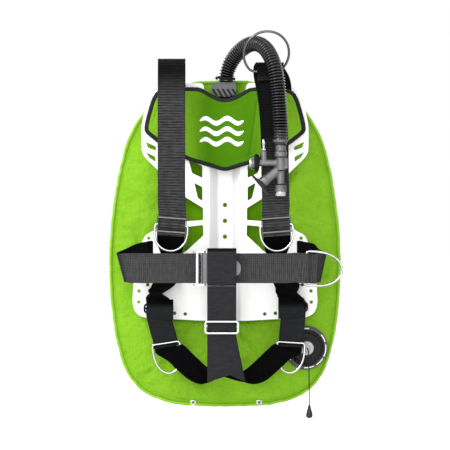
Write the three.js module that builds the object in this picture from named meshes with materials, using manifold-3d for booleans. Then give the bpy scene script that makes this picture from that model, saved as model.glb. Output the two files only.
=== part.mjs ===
// Buoyancy compensator vest: a ring-shaped wing, a bent metal backplate, a webbing harness and an
// inflator on a corrugated hose. Millimetres, +Z up, +X towards the wearer's left as the harness
// faces the viewer, harness towards -Y and tank towards +Y. The origin is on the flat tank face,
// at the plate's mid-height.
import * as THREE from 'three';
import * as BufferGeometryUtils from 'three/addons/utils/BufferGeometryUtils.js';
import Module from 'manifold-3d';

const wasm = await Module();
wasm.setup();

// ---------------------------------------------------------------- driving dimensions
const GAP = 0.4; // free space between pieces that rest on each other

const WEB = 50; // harness webbing width
const WEB_T = 2.4; // webbing thickness
const BELT_WEB = 54; // waist and crotch webbing

const WING = {
  seamY: -5, // plane of the outer seam
  flange: 10, // flat seam border outside the air chamber
  shell: 1.15, // cover fabric
  seamGap: 0.15, // half the space between the two covers at the seam
  front: 20, // how far the chamber stands forward of the seam
  back: 50, // how far it stands back beside the tank
  holeR: 72, // half width of the flat middle
  spineTop: 78, // the middle is a stadium around this vertical line
  spineBottom: -178,
  around: 36, // sections around the ring
  across: 5, // facets across the chamber
};

const PLATE = {
  t: 3,
  floorY: -10, // rear face of the spine channel
  floorX: 14, // half width of the channel floor
  bendX: 28, // where the channel wall meets the side flange
  flangeY: -27, // rear face of the flange at the bend
  slope: 0.07, // flanges lean forward by this much per mm
};

const PAD = { t: 10, binding: 8 };

const CHEST_RING = { half: 29.6, depth: 47, wire: 2 };
const HIP_RING = { half: 25, depth: 55, wire: 2 };
const WAIST_RING = { x: 146, half: 30.6, depth: 66.2, wire: 2.1 };
const HOSE_RING_SIZE = { half: 26, r: 41, rise: 31.5, wire: 2.3 };
const HIP_WEB = 45; // lighter webbing of the hip straps and crotch branches

const BELT = { z: -120.2, y: -112, buckleX: -50 };
const CROTCH_X = -5.9;
const HOSE_R = 14.5;

// ---------------------------------------------------------------- materials
const finish = (color, roughness, metalness = 0) =>
  new THREE.MeshStandardMaterial({ color, roughness, metalness });
const wingFabric = finish(0x8cc63e, 0.8);
const padFabric = finish(0x6fae1e, 0.85);
const panelFabric = finish(0x5c9a14, 0.85);
const webbing = finish(0x2b2b2e, 0.75);
const binding = finish(0x222225, 0.8);
const platePaint = finish(0xf4f4f2, 0.35, 0.2);
const steel = finish(0xd0d0d0, 0.25, 1);
const blackPlastic = finish(0x1a1a1c, 0.5);
const greyPlastic = finish(0x8f9092, 0.4);
const rubber = finish(0x202022, 0.7);
const bladderFilm = finish(0xb9c4c8, 0.5);
const tabFabric = finish(0x77787a, 0.8);

// ---------------------------------------------------------------- geometry helpers
const vec = (x, y, z) => new THREE.Vector3(x, y, z);

/** Closed mesh through a list of equal-length point rings, capped unless it closes on itself. */
function skin(rings, closed = false) {
  const count = rings[0].length;
  const position = rings.flat().flatMap((p) => [p.x, p.y, p.z]);
  const index = [];
  const last = closed ? rings.length : rings.length - 1;
  for (let i = 0; i < last; i++) {
    const a = i * count;
    const b = ((i + 1) % rings.length) * count;
    for (let j = 0; j < count; j++) {
      const k = (j + 1) % count;
      index.push(a + j, a + k, b + k, a + j, b + k, b + j);
    }
  }
  if (!closed) {
    const end = (rings.length - 1) * count;
    for (let j = 1; j < count - 1; j++) {
      index.push(0, j + 1, j);
      index.push(end, end + j, end + j + 1);
    }
  }
  const geometry = new THREE.BufferGeometry();
  geometry.setAttribute('position', new THREE.Float32BufferAttribute(position, 3));
  geometry.setIndex(index);
  if (volume(geometry) < 0) geometry.setIndex(flipped(index));
  return geometry;
}

function flipped(index) {
  const turned = [];
  for (let i = 0; i < index.length; i += 3) turned.push(index[i], index[i + 2], index[i + 1]);
  return turned;
}

/** Signed volume, negative where the faces point in. */
function volume(geometry) {
  const p = geometry.getAttribute('position');
  const index = geometry.getIndex().array;
  const [a, b, c] = [vec(), vec(), vec()];
  let sum = 0;
  for (let i = 0; i < index.length; i += 3) {
    a.fromBufferAttribute(p, index[i]);
    b.fromBufferAttribute(p, index[i + 1]);
    c.fromBufferAttribute(p, index[i + 2]);
    sum += a.dot(b.cross(c)) / 6;
  }
  return sum;
}

function toSolid(geometry) {
  const bare = geometry.clone();
  bare.deleteAttribute('normal');
  bare.deleteAttribute('uv');
  const merged = BufferGeometryUtils.mergeVertices(bare, 1e-4);
  const mesh = new wasm.Mesh({
    numProp: 3,
    vertProperties: new Float32Array(merged.getAttribute('position').array),
    triVerts: new Uint32Array(merged.getIndex().array),
  });
  mesh.merge();
  return new wasm.Manifold(mesh);
}

function fromSolid(solid) {
  const mesh = solid.getMesh();
  const geometry = new THREE.BufferGeometry();
  geometry.setAttribute('position', new THREE.Float32BufferAttribute(mesh.vertProperties, 3));
  geometry.setIndex([...mesh.triVerts]);
  return geometry;
}

const join = (...parts) => fromSolid(parts.map(toSolid).reduce((a, b) => a.add(b)));
const cut = (body, ...tools) =>
  fromSolid(tools.map(toSolid).reduce((a, b) => a.subtract(b), toSolid(body)));
const common = (a, b) => fromSolid(toSolid(a).intersect(toSolid(b)));

const moved = (geometry, x, y, z) => geometry.translate(x, y, z);

/** Box between two corners. */
function box(x0, x1, y0, y1, z0, z1) {
  const geometry = new THREE.BoxGeometry(x1 - x0, y1 - y0, z1 - z0);
  return moved(geometry, (x0 + x1) / 2, (y0 + y1) / 2, (z0 + z1) / 2);
}

/** Turn that lays the +Y axis along a direction. */
const turnTo = (direction) =>
  new THREE.Quaternion().setFromUnitVectors(vec(0, 1, 0), direction.clone().normalize());

/** Round bar between two points. */
function bar(from, to, radius, sides = 12, radiusTo = radius) {
  const along = to.clone().sub(from);
  const geometry = new THREE.CylinderGeometry(radiusTo, radius, along.length(), sides);
  geometry.applyQuaternion(turnTo(along));
  const middle = from.clone().add(to).multiplyScalar(0.5);
  return moved(geometry, middle.x, middle.y, middle.z);
}

/** Turned piece: [radius, height] steps around +Z, placed with its axis along a direction. */
function turned(profile, at, axis = vec(0, 0, 1), sides = 24) {
  const points = profile.map(([r, h]) => new THREE.Vector2(r, h));
  if (profile[0][0] > 0) points.push(points[0].clone());
  const geometry = new THREE.LatheGeometry(points, sides);
  geometry.deleteAttribute('normal');
  geometry.deleteAttribute('uv');
  let closed = BufferGeometryUtils.mergeVertices(geometry, 1e-4);
  closed = withoutSlivers(closed);
  if (volume(closed) < 0) closed.setIndex(flipped([...closed.getIndex().array]));
  closed.applyQuaternion(turnTo(axis));
  return moved(closed, at.x, at.y, at.z);
}

/** Drops the triangles that collapse where a turned profile touches its axis. */
function withoutSlivers(geometry) {
  const index = geometry.getIndex().array;
  const kept = [];
  for (let i = 0; i < index.length; i += 3) {
    const [a, b, c] = [index[i], index[i + 1], index[i + 2]];
    if (a !== b && b !== c && c !== a) kept.push(a, b, c);
  }
  geometry.setIndex(kept);
  return geometry;
}

/** Flat outline in the XZ plane, made solid between two Y values, with holes cut through. */
function slab(outline, y0, y1, holes = []) {
  const shape = new THREE.Shape(outline.map(([x, z]) => new THREE.Vector2(x, z)));
  const geometry = new THREE.ExtrudeGeometry(shape, { depth: y1 - y0, bevelEnabled: false });
  geometry.rotateX(Math.PI / 2);
  moved(geometry, 0, y1, 0);
  return holes.length ? cut(geometry, ...holes.map((hole) => slab(hole, y0 - 1, y1 + 1))) : geometry;
}

const mirrorX = (outline) => outline.map(([x, z]) => [-x, z]).reverse();
const symmetric = (half) => [...half, ...mirrorX(half.filter(([x]) => x > 0))];

function disc(x, z, radius, sides = 10) {
  return Array.from({ length: sides }, (_, i) => {
    const turn = (i / sides) * 2 * Math.PI;
    return [x + radius * Math.cos(turn), z + radius * Math.sin(turn)];
  });
}

const rectangle = (x0, x1, z0, z1) => [[x0, z0], [x1, z0], [x1, z1], [x0, z1]];
const withMirrors = (outlines) => [...outlines, ...outlines.map(mirrorX)];

/** Smooth sampling of a hand-chosen route: each stop is [x, y, z] with its own across vector. */
function stations(stops, steps) {
  const centre = new THREE.CatmullRomCurve3(stops.map((s) => vec(...s.at)), false, 'centripetal');
  const sides = stops.map((s) => vec(...s.across).normalize());
  return Array.from({ length: steps + 1 }, (_, i) => {
    const u = i / steps;
    const place = u * (stops.length - 1);
    const k = Math.min(Math.floor(place), stops.length - 2);
    const across = sides[k].clone().lerp(sides[k + 1], place - k).normalize();
    return { at: centre.getPoint(u), across };
  });
}

/** Flat band along a list of stations. */
function ribbon(list, width, thickness = WEB_T, closed = false) {
  const n = list.length;
  const rings = list.map(({ at, across }, i) => {
    const before = list[closed ? (i + n - 1) % n : Math.max(i - 1, 0)].at;
    const after = list[closed ? (i + 1) % n : Math.min(i + 1, n - 1)].at;
    const along = after.clone().sub(before).normalize();
    const out = across.clone().cross(along).normalize();
    const a = across.clone().multiplyScalar(width / 2);
    const b = out.multiplyScalar(thickness / 2);
    return [
      at.clone().add(a).add(b),
      at.clone().add(a).sub(b),
      at.clone().sub(a).sub(b),
      at.clone().sub(a).add(b),
    ];
  });
  return skin(rings, closed);
}

/** Round wire along points; closed for a welded ring. */
function wire(points, radius, sides = 8, closed = true, normal = null) {
  const n = points.length;
  const rings = points.map((p, i) => {
    const before = points[closed ? (i + n - 1) % n : Math.max(i - 1, 0)];
    const after = points[closed ? (i + 1) % n : Math.min(i + 1, n - 1)];
    const along = after.clone().sub(before).normalize();
    const u = (normal ?? vec(0, 0, 1)).clone().cross(along).normalize();
    const v = along.clone().cross(u).normalize();
    return Array.from({ length: sides }, (_, j) => {
      const turn = (j / sides) * 2 * Math.PI;
      return p.clone()
        .addScaledVector(u, radius * Math.cos(turn))
        .addScaledVector(v, radius * Math.sin(turn));
    });
  });
  return skin(rings, closed);
}

function coilSpring(from, to, radius, wireR, turns) {
  const along = to.clone().sub(from);
  const axis = along.clone().normalize();
  const u = Math.abs(axis.z) > 0.9 ? vec(1, 0, 0) : vec(0, 0, 1);
  const side = u.cross(axis).normalize();
  const up = axis.clone().cross(side);
  const steps = turns * 8;
  const points = Array.from({ length: steps + 1 }, (_, i) => {
    const turn = (i / 8) * 2 * Math.PI;
    return from.clone().addScaledVector(along, i / steps)
      .addScaledVector(side, radius * Math.cos(turn))
      .addScaledVector(up, radius * Math.sin(turn));
  });
  return wire(points, wireR, 4, false, axis);
}

/** Local frame on a piece of hardware: along the strap, across it, and out of its face. */
function place(geometry, at, across, down) {
  const x = vec(...across).normalize();
  const z = vec(...down).normalize().negate();
  const y = z.clone().cross(x).normalize();
  geometry.applyMatrix4(new THREE.Matrix4().makeBasis(x, y, z));
  return moved(geometry, ...at);
}

// ---------------------------------------------------------------- wing
/** Half outline of the wing from the top centre to the bottom centre, [x, z]. */
const WING_EDGE = [
  [0, 222], [52, 220], [100, 204], [146, 168], [174, 122], [189, 76], [203, 0],
  [211, -90], [208, -185], [196, -262], [177, -316], [148, -348], [98, -368], [48, -373], [0, -374],
];

function wingEdgePoints() {
  const half = WING_EDGE.map(([x, z]) => vec(x, 0, z));
  const other = WING_EDGE.slice(1, -1).reverse().map(([x, z]) => vec(-x, 0, z));
  const edge = new THREE.CatmullRomCurve3([...half, ...other], true, 'centripetal');
  return Array.from({ length: WING.around }, (_, i) => edge.getPointAt((i + 0.5) / WING.around));
}

/** Where the plate's channel presses the top of the chamber flat in front. */
const PRESSED = { share: 0.14, fromX: 32, toX: 75 };

/** How far forward the chamber may stand at a point: 1 away from the channel, less near it. */
function forwardShare(p) {
  if (p.z < 0) return 1;
  const away = THREE.MathUtils.smoothstep(Math.abs(p.x), PRESSED.fromX, PRESSED.toX);
  return THREE.MathUtils.lerp(PRESSED.share, 1, away);
}

/** One section across the chamber: where it lies, and how full it is there from 0 to 1. */
function chamberSections() {
  return wingEdgePoints().map((outer) => {
    const spine = vec(0, 0, THREE.MathUtils.clamp(outer.z, WING.spineBottom, WING.spineTop));
    const away = outer.clone().sub(spine);
    const inner = spine.clone().addScaledVector(away.clone().normalize(), WING.holeR);
    const length = outer.distanceTo(inner);
    const air = 1 - WING.flange / length;
    const samples = Array.from({ length: WING.across + 1 }, (_, j) => {
      const s = (1 - Math.cos((Math.PI * j) / WING.across)) / 2;
      const full = j % WING.across ? Math.pow(Math.sin(Math.PI * s), 0.7) : 0;
      const at = inner.clone().lerp(outer, s * air);
      return { at, full, pressed: full * forwardShare(at) };
    });
    return { samples, outer };
  });
}

const frontY = ({ pressed }) => WING.seamY - WING.seamGap - WING.shell - WING.front * pressed;
const backY = ({ full }) => WING.seamY + WING.seamGap + WING.shell + WING.back * full;
const SEAM = { full: 0, pressed: 0 };
const atY = (p, y) => vec(p.x, y, p.z);

function wingShell(surfaceY, inward) {
  const rings = chamberSections().map(({ samples, outer }) => {
    const outside = [...samples.map((s) => atY(s.at, surfaceY(s))), atY(outer, surfaceY(SEAM))];
    const inside = outside.map((p) => atY(p, p.y + inward * WING.shell)).reverse();
    return [...outside, ...inside];
  });
  return skin(rings, true);
}

const AIR_GAP = 1.3; // between the cover fabric and the bladder inside it
const SLACK = 0.72; // the bladder fills less of the pressed front
const FILM_SHARE = 0.965; // size of the bladder's air space against its outside
/** Bladder film: a closed ring, drawn at a share of its full section. */
function bladderRing(share) {
  const rings = chamberSections().map(({ samples }) => {
    const inner = samples.slice(1, -1);
    const inside = WING.shell + AIR_GAP;
    const front = inner.map((s) => atY(s.at, frontY({ pressed: s.pressed * SLACK }) + inside));
    const back = inner.map((s) => atY(s.at, backY(s) - inside)).reverse();
    const outline = [...front, ...back];
    const middle = outline.reduce((sum, p) => sum.add(p), vec()).divideScalar(outline.length);
    return outline.map((p) => p.clone().lerp(middle, 1 - share));
  });
  return skin(rings, true);
}

const CAM_SLOTS = [80, -80]; // heights of the two tank band slots
const CAM_SLOT = { x: 34.5, w: 8, h: 56 };
const TANK_PAD = { half: 28, z0: -165, z1: 128, t: 3.4 };

function centrePanel() {
  const r = WING.holeR - 1.5;
  const arc = (z, start) => Array.from({ length: 11 }, (_, i) => {
    const turn = start + (i / 10) * Math.PI;
    return [r * Math.cos(turn), z + r * Math.sin(turn)];
  });
  const slots = CAM_SLOTS.flatMap((z) => [-1, 1].map((side) => rectangle(
    side * CAM_SLOT.x - CAM_SLOT.w / 2, side * CAM_SLOT.x + CAM_SLOT.w / 2,
    z - CAM_SLOT.h / 2, z + CAM_SLOT.h / 2,
  )));
  return slab([...arc(WING.spineTop, 0), ...arc(WING.spineBottom, Math.PI)], -6.2, -3.8, slots);
}

const ZIP = { x: 61, half: 3.5, z0: -150, z1: 20, y0: -3.5, y1: -1.9 };
const SLIDER = { half: 4, h: 10, t: 2, lift: 0.3 };

const bladderZip = () => box(ZIP.x - ZIP.half, ZIP.x + ZIP.half, ZIP.y0, ZIP.y1, ZIP.z0, ZIP.z1);

function zipSlider() {
  const rear = ZIP.y1 + SLIDER.lift;
  return box(ZIP.x - SLIDER.half, ZIP.x + SLIDER.half, rear, rear + SLIDER.t, ZIP.z1 - SLIDER.h, ZIP.z1);
}

const GROMMETS = [[-58.5, -367.2], [62.5, -367]];
const GROMMET = { bore: 1.8, neck: 2.7, rim: 4.4 };

function grommet([x, z]) {
  const front = frontY(SEAM) - GAP;
  const back = backY(SEAM) + GAP;
  const profile = [
    [GROMMET.bore, front - 0.8], [GROMMET.rim, front - 0.8], [GROMMET.rim, front],
    [GROMMET.neck, front], [GROMMET.neck, back], [GROMMET.rim, back], [GROMMET.rim, back + 0.8],
    [GROMMET.bore, back + 0.8],
  ];
  return turned(profile, vec(x, 0, z), vec(0, 1, 0), 14);
}

const grommetHole = ([x, z]) => bar(vec(x, -12, z), vec(x, 4, z), GROMMET.neck + GAP, 14);

// ---------------------------------------------------------------- dump valve
const VALVE = {
  at: vec(146.5, -22, -265.5), // where its axis meets the wing
  out: vec(0.2, -0.97, -0.1).normalize(),
  ringR: 40.5,
};
/** Point on the valve's axis, a distance out from the wing. */
const onValve = (h) => VALVE.at.clone().addScaledVector(VALVE.out, h);

const valveSeat = () => turned([
  [16, -1], [33, -1], [33, 5], [38, 5], [38, 8], [30, 8], [30, 2], [16, 2],
], VALVE.at, VALVE.out, 24);
const valveRing = () => turned([
  [31, 8.4], [36, 8.4], [38.4, 8], [38.4, 3], [40.5, 3], [40.5, 8], [37, 11.5], [26, 12.5],
  [12.5, 12.5], [12.5, 10.5], [26, 10.5],
], VALVE.at, VALVE.out, 24);
const valvePlunger = () => turned([
  [0, 3], [20, 3], [20, 5], [11.5, 5], [11.5, 14.5], [9, 16.5], [0, 16.5],
], VALVE.at, VALVE.out, 20);
const valveSpring = () => coilSpring(onValve(5.9), onValve(9.5), 15.5, 0.7, 2);

// ---------------------------------------------------------------- cord and hose routes
/** Pull cord: out of the valve's hub, then straight down to the knob. */
const CORD_ROUTE = [
  [150.2, -38.9, -267.3], [150.6, -41.2, -267.6], [151.2, -43.6, -268.6], [151.8, -45.4, -271],
  [152.2, -46.2, -275], [152.5, -46.4, -282], [152.8, -46.4, -295], [153.1, -46.4, -310],
  [153.3, -46.4, -325], [153.5, -46.4, -340], [153.6, -46.4, -355], [153.7, -46.4, -370.6],
];
const CORD_R = 1;

/** Hose: up from the elbow, over the right shoulder, through the ring and down to the inflator. */
const HOSE_ROUTE = [
  [1.8, -20, 214.5], [1.8, -20, 220], [2.6, -20.3, 227], [5.4, -22, 240], [10.8, -26, 254],
  [19.8, -33, 267.5], [32, -44.5, 279.5], [46, -60, 287], [60, -77, 287], [72, -93, 279],
  [81.5, -107, 265], [88.5, -117, 247], [93, -122.5, 226], [96, -125, 203], [98, -126.4, 178],
  [99.4, -127.2, 152], [100.1, -127.5, 132], [100.1, -127.5, 126], [100.1, -127.5, 120],
];

function tubeAlong(route, radius, sides, steps) {
  const curve = new THREE.CatmullRomCurve3(route.map((p) => vec(...p)), false, 'centripetal');
  const section = new THREE.Shape(disc(0, 0, radius, sides).map(([x, y]) => new THREE.Vector2(x, y)));
  return new THREE.ExtrudeGeometry(section, { steps, bevelEnabled: false, extrudePath: curve });
}

// ---------------------------------------------------------------- inflator
const INF = { x: 100.1, y: -127.5, cuffTop: 119.6, portZ: 70.4, buttonX: 43 };
const inflatorAxis = (z) => vec(INF.x, INF.y, z);

const ELBOW = { x: 1.8, y: -20, z: 188 };
const elbow = () => turned([
  [0, 0], [8, 0], [12.5, 4], [12.5, 15], [13.8, 17], [13.8, 21], [12.5, 22], [12.5, 26], [9, 26],
  [9, 10], [0, 8],
], vec(ELBOW.x, ELBOW.y, ELBOW.z), vec(0, 0, 1), 16);

const inflatorCuff = () => turned([
  [9.2, 103], [11.8, 103], [11.8, 118], [13, 119.6], [9.2, 119.6],
], vec(INF.x, INF.y, 0), vec(0, 0, 1), 20);

const hoseTie = (at, axis, radius) => join(
  turned([[radius, -2.4], [radius + 1.4, -2.4], [radius + 1.4, 2.4], [radius, 2.4]], at, axis, 20),
  box(at.x - radius - 4.6, at.x - radius - 0.7, at.y - 3.5, at.y + 3.5, at.z - 3, at.z + 3),
);

function inflatorBody() {
  const mouth = { from: vec(94.5, INF.y, 56), to: vec(68.6, INF.y, 34.3) };
  const solid = join(
    turned([
      [0, 102], [10.2, 102], [10.2, 91], [11.8, 89.5], [11.8, 82], [9.5, 80.5], [9.5, 57], [7.2, 55],
      [7.2, 32], [10.9, 30], [10.9, 17], [0, 17],
    ], vec(INF.x, INF.y, 0), vec(0, 0, 1), 16),
    bar(inflatorAxis(INF.portZ), vec(62, INF.y, INF.portZ), 6.6, 12),
    bar(mouth.from, mouth.to, 7.5, 12),
    turned([
      [0, -5], [6.4, -5], [6.4, 13.8], [4.8, 15.5], [0, 15.5],
    ], vec(70, INF.y, 77), vec(0, 0, 1), 14),
    box(INF.x + 8, INF.x + 13.6, INF.y - 6, INF.y + 6, 60, 79),
  );
  const buttonWell = bar(inflatorAxis(16), inflatorAxis(27), 8.6, 20);
  return cut(solid, buttonWell);
}

const buttonRing = () => turned([
  [10.4, 0], [15.4, 1.5], [15.4, 12.5], [13, 14.2], [0, 14.2], [0, 12.2], [10.4, 12.2],
], vec(47.4, INF.y, INF.portZ), vec(1, 0, 0), 24);
const inflateButton = () => turned([
  [0, 0], [7.5, 0], [9.9, 2], [9.9, 8.5], [0, 8.5],
], vec(INF.buttonX, INF.y, INF.portZ), vec(1, 0, 0), 20);
const inflateSpring = () => coilSpring(
  vec(52.6, INF.y, INF.portZ), vec(58.5, INF.y, INF.portZ), 6, 0.7, 2,
);
const deflateButton = () => turned([
  [0, 9.7], [9, 9.7], [9.6, 10.5], [9.6, 13.4], [8.1, 13.7], [8.1, 21], [0, 21],
], vec(INF.x, INF.y, 0), vec(0, 0, 1), 20);
const deflateSpring = () => coilSpring(inflatorAxis(22), inflatorAxis(26.1), 5.5, 0.7, 2);

const lpNipple = () => turned([
  [0, 92.9], [5, 92.9], [5, 96], [2.8, 97.5], [2.8, 104], [3.8, 105.5], [3.8, 108], [2.8, 109.5],
  [2.8, 112.4], [0, 112.4],
], vec(70, INF.y, 0), vec(0, 0, 1), 14);

/** Oval soft mouthpiece: a short sleeve on the slanted tube, and a thin bite flange. */
function mouthpiece() {
  const out = vec(-0.766, 0, -0.643);
  const side = vec(0.643, 0, -0.766);
  const at = vec(68.6, INF.y, 34.3).addScaledVector(out, 0.4);
  const oval = (h, a, b) => Array.from({ length: 20 }, (_, i) => {
    const turn = (i / 20) * 2 * Math.PI;
    return at.clone().addScaledVector(out, h)
      .addScaledVector(side, a * Math.cos(turn)).addScaledVector(vec(0, 1, 0), b * Math.sin(turn));
  });
  return skin([oval(0, 8.5, 8.5), oval(3, 9.5, 8.5), oval(4, 23.3, 13.5), oval(6.5, 23.3, 13.5)]);
}

// ---------------------------------------------------------------- backplate and pad
const flangeRear = (x) => PLATE.flangeY - PLATE.slope * (Math.abs(x) - PLATE.bendX);
const flangeFront = (x) => flangeRear(x) - PLATE.t;
const acrossFlange = (side) => [1, -side * PLATE.slope, 0];

/** Half outline of the plate, top notch to bottom centre. */
const PLATE_EDGE = [
  [0, 186], [28, 187], [36, 194], [39, 214], [44, 217.5], [106, 215.5], [122, 211], [132, 203],
  [146.5, 170], [152.5, 138], [152.5, 95], [148, 83], [116, 52], [101, 34], [97, 0], [101, -30],
  [131, -53], [145, -60], [151, -71], [157, -100], [167, -146], [169, -186], [163, -203], [148, -211],
  [93, -214], [36, -217], [0, -217],
];
/** Windows right of the spine; the left ones mirror them. */
const PLATE_WINDOWS = [
  [[41.3, 65.7], [66.7, 77.8], [60, 52.6], [41.3, 43.9]],
  [[41.3, 27.2], [56, 35], [49.5, 7], [41.3, 2]],
  [[40, -11], [84, 16], [84, -36], [40, -33]],
  [[40, -42], [84, -47], [84, -98], [70, -89], [39.5, -61]],
  [[145, 110], [126, 101], [126, 93.5], [141, 99]],
  [[145, 91.5], [127, 82.5], [126.5, 73], [138, 80.5]],
];
const PLATE_HOLES = [
  [157, -162.5], [157.5, -182.5], [141, -151], [92, -203], [72.5, -204.5], [139, -66],
];
const SPINE_HOLES = [-5.4, -34.4, -63.4];
/** Webbing slots, each [x0, x1, z0, z1]. */
const SLOT = {
  shoulderTop: [69, 123, 185, 199],
  shoulderBottom: [69, 123, -113, -105],
  hip: [79, 133, -141, -133],
  belt: [131, 143, -127.5, -70.5],
};

function channelSection() {
  const { t, floorY, floorX, bendX } = PLATE;
  const edge = 180;
  const rear = [[floorX, floorY], [bendX, flangeRear(bendX)], [edge, flangeRear(edge)]];
  const front = [[edge, flangeFront(edge)], [bendX, flangeFront(bendX)], [floorX - 1, floorY - t]];
  const half = [...rear, ...front];
  return [...half, ...half.map(([x, y]) => [-x, y]).reverse()];
}

/** The channel's section, drawn out over the plate's height. */
function prismZ(section, z0, z1) {
  const shape = new THREE.Shape(section.map(([x, y]) => new THREE.Vector2(x, y)));
  const geometry = new THREE.ExtrudeGeometry(shape, { depth: z1 - z0, bevelEnabled: false });
  return moved(geometry, 0, 0, z0);
}

function backplate() {
  const holes = [
    ...withMirrors(PLATE_WINDOWS),
    ...withMirrors(PLATE_HOLES.map(([x, z]) => disc(x, z, 3.2, 8))),
    ...SPINE_HOLES.map((z) => disc(0, z, 4, 10)),
    ...withMirrors(Object.values(SLOT).map((sides) => rectangle(...sides))),
  ];
  return common(prismZ(channelSection(), -230, 230), slab(symmetric(PLATE_EDGE), -60, 0, holes));
}

/** Half outline of the pad, top centre dip to the point at the bottom. */
const PAD_EDGE = [
  [0, 189], [10, 190], [28, 199], [44, 209], [64, 210], [106, 208], [119, 205], [127, 200],
  [135, 186], [145, 150], [148, 132], [144, 124], [118, 104], [70, 76], [0, 55],
];

/** Shrinks an outline towards its own inside by a fixed width. */
function inset(outline, width) {
  const n = outline.length;
  return outline.map((point, i) => {
    const [ax, az] = outline[(i + n - 1) % n];
    const [bx, bz] = outline[(i + 1) % n];
    const before = new THREE.Vector2(point[0] - ax, point[1] - az).normalize();
    const after = new THREE.Vector2(bx - point[0], bz - point[1]).normalize();
    const normal = new THREE.Vector2(before.y + after.y, -before.x - after.x).normalize();
    const stretch = 1 / Math.max(normal.dot(new THREE.Vector2(before.y, -before.x)), 0.5);
    return [point[0] + normal.x * width * stretch, point[1] + normal.y * width * stretch];
  });
}

/** Pad blank: follows the flanges, held off them by the webbing that runs underneath. */
function padBlank() {
  const back = (x) => flangeFront(x) - WEB_T - 2 * GAP - 0.6;
  const [near, far] = [PLATE.bendX, 160];
  const rear = [[near, back(near)], [far, back(far)]];
  const front = rear.map(([x, y]) => [x, y - PAD.t]).reverse();
  const half = [...rear, ...front];
  return prismZ([...half, ...half.map(([x, y]) => [-x, y]).reverse()], 40, 215);
}

/** Woven tab over the hose's base; its foot follows the dip in the pad's top edge. */
const TAB = [[-25, 198.7], [-12, 193], [0, 191.5], [10, 192.5], [20, 196.4], [20, 218], [-25, 218]];

const padOutline = () => symmetric(PAD_EDGE);
const backPad = () => common(padBlank(), slab(inset(padOutline(), PAD.binding), -70, -20));
const padBinding = () => common(
  padBlank(),
  slab(padOutline(), -70, -20, [inset(padOutline(), PAD.binding - GAP)]),
);

// ---------------------------------------------------------------- harness webbing
/** Strap stations over a bar: the band arches up by the bar's height and comes down again. */
function arch(at, across, down, height) {
  const normal = vec(...across).cross(vec(...down)).normalize().negate();
  const shoulder = height * 0.85;
  const steps = [[-20, 0], [-9, 0], [-4.8, shoulder], [0, height], [4.8, shoulder], [9, 0], [20, 0]];
  return steps.map(([along, out]) => ({
    at: vec(...at).addScaledVector(vec(...down).normalize(), along).addScaledVector(normal, out),
    across: vec(...across).normalize(),
  }));
}

const CHEST = {
  left: { at: [-97, -100, -42], across: [1, 0, -0.075], down: [-0.075, 0, -1] },
  right: { at: [92.8, -100, -42], across: [1, 0, 0.075], down: [0.075, 0, -1] },
};
const ARCH = 5.4; // rise of the webbing over a ring's straight bar

/** Where each shoulder strap runs sideways, from the plate's slot over the shoulder to the keeper. */
const STRAP_X = {
  left: [-97, -97, -97, -97, -97, -97, -97, -97, -97],
  right: [96, 92, 82, 77, 83, 88, 90, 91, 92.4],
};

/** Shoulder strap: out of the top slot, over the shoulder, down to the keeper and to the plate. */
function shoulderStrap(side, x, topZ, chest) {
  const flat = acrossFlange(side);
  const plateY = flangeRear(x[0]);
  const rise = [
    { at: [x[0], plateY + 2.6, 172], across: flat },
    { at: [x[0], plateY + 2.6, 184], across: flat },
    { at: [x[0], plateY - 1.5, 192], across: flat },
    { at: [x[0], plateY - 5.2, 200], across: flat },
    { at: [x[0], plateY - 5.4, 213], across: flat },
    { at: [x[1], -43, topZ - 24], across: [1, 0, 0] },
    { at: [x[2], -52, topZ - 6], across: [1, 0, 0] },
    { at: [x[2], -64, topZ], across: [1, 0, 0] },
    { at: [x[3], -77, topZ - 7], across: [1, 0, 0] },
    { at: [x[3], -88, topZ - 26], across: [1, 0, 0] },
    { at: [x[4], -98, topZ - 57], across: [1, 0, 0] },
    { at: [x[5], -105.5, 150], across: [1, 0, 0] },
    { at: [x[6], -108, 100], across: [1, 0, 0] },
    { at: [x[7], -105.5, 35], across: [1, 0, 0] },
    { at: [x[8], -101, -8], across: [1, 0, -0.04 * -side] },
  ];
  const upper = stations(rise, 34);
  const middle = arch(chest.at, chest.across, chest.down, ARCH);
  const end = middle[middle.length - 1].at;
  const lower = stations([
    { at: [end.x, -98.2, -72], across: [1, 0, 0] },
    { at: [end.x - side * 0.5, -91, -86], across: [1, 0, 0] },
    { at: [end.x - side * 1, -76, -99], across: [1, 0, 0] },
    { at: [side * 96, -54, -107], across: flat },
    { at: [side * 96, -27.6, -109], across: flat },
  ], 8);
  return ribbon([...upper, ...middle, ...lower], WEB);
}

/** Waist belt half: upright slot, out to the side, round and back to the middle in front. */
function waistBelt(side, foldX, foldTilt, tail, ringAt) {
  const atSlot = [side * 0.05, 0, 1];
  const around = stations([
    { at: [side * 129, -32, -98], across: atSlot },
    { at: [side * 134, -33.2, -98.2], across: atSlot },
    { at: [side * 138, -36.4, -98.6], across: atSlot },
    { at: [side * 143, -40.6, -99.4], across: atSlot },
    { at: [side * 158, -46, -103], across: [side * 0.14, 0, 1] },
    { at: [side * (foldX - 13), -57, -112], across: [side * 0.22, 0, 1] },
    { at: [side * foldX, -76, -118], across: [side * foldTilt, 0, 1] },
    { at: [side * (foldX - 4), -96, -120], across: [side * foldTilt, 0, 1] },
    { at: [side * (foldX - 14), -106, BELT.z], across: [side * 0.12, 0, 1] },
  ], 20);
  const ring = ringAt ? arch([ringAt, BELT.y, BELT.z], [0.06, 0, 1], [-1, 0, 0.06], -ARCH) : [];
  return ribbon([...around, ...ring, ...stations(tail, 6)], BELT_WEB);
}

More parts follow.
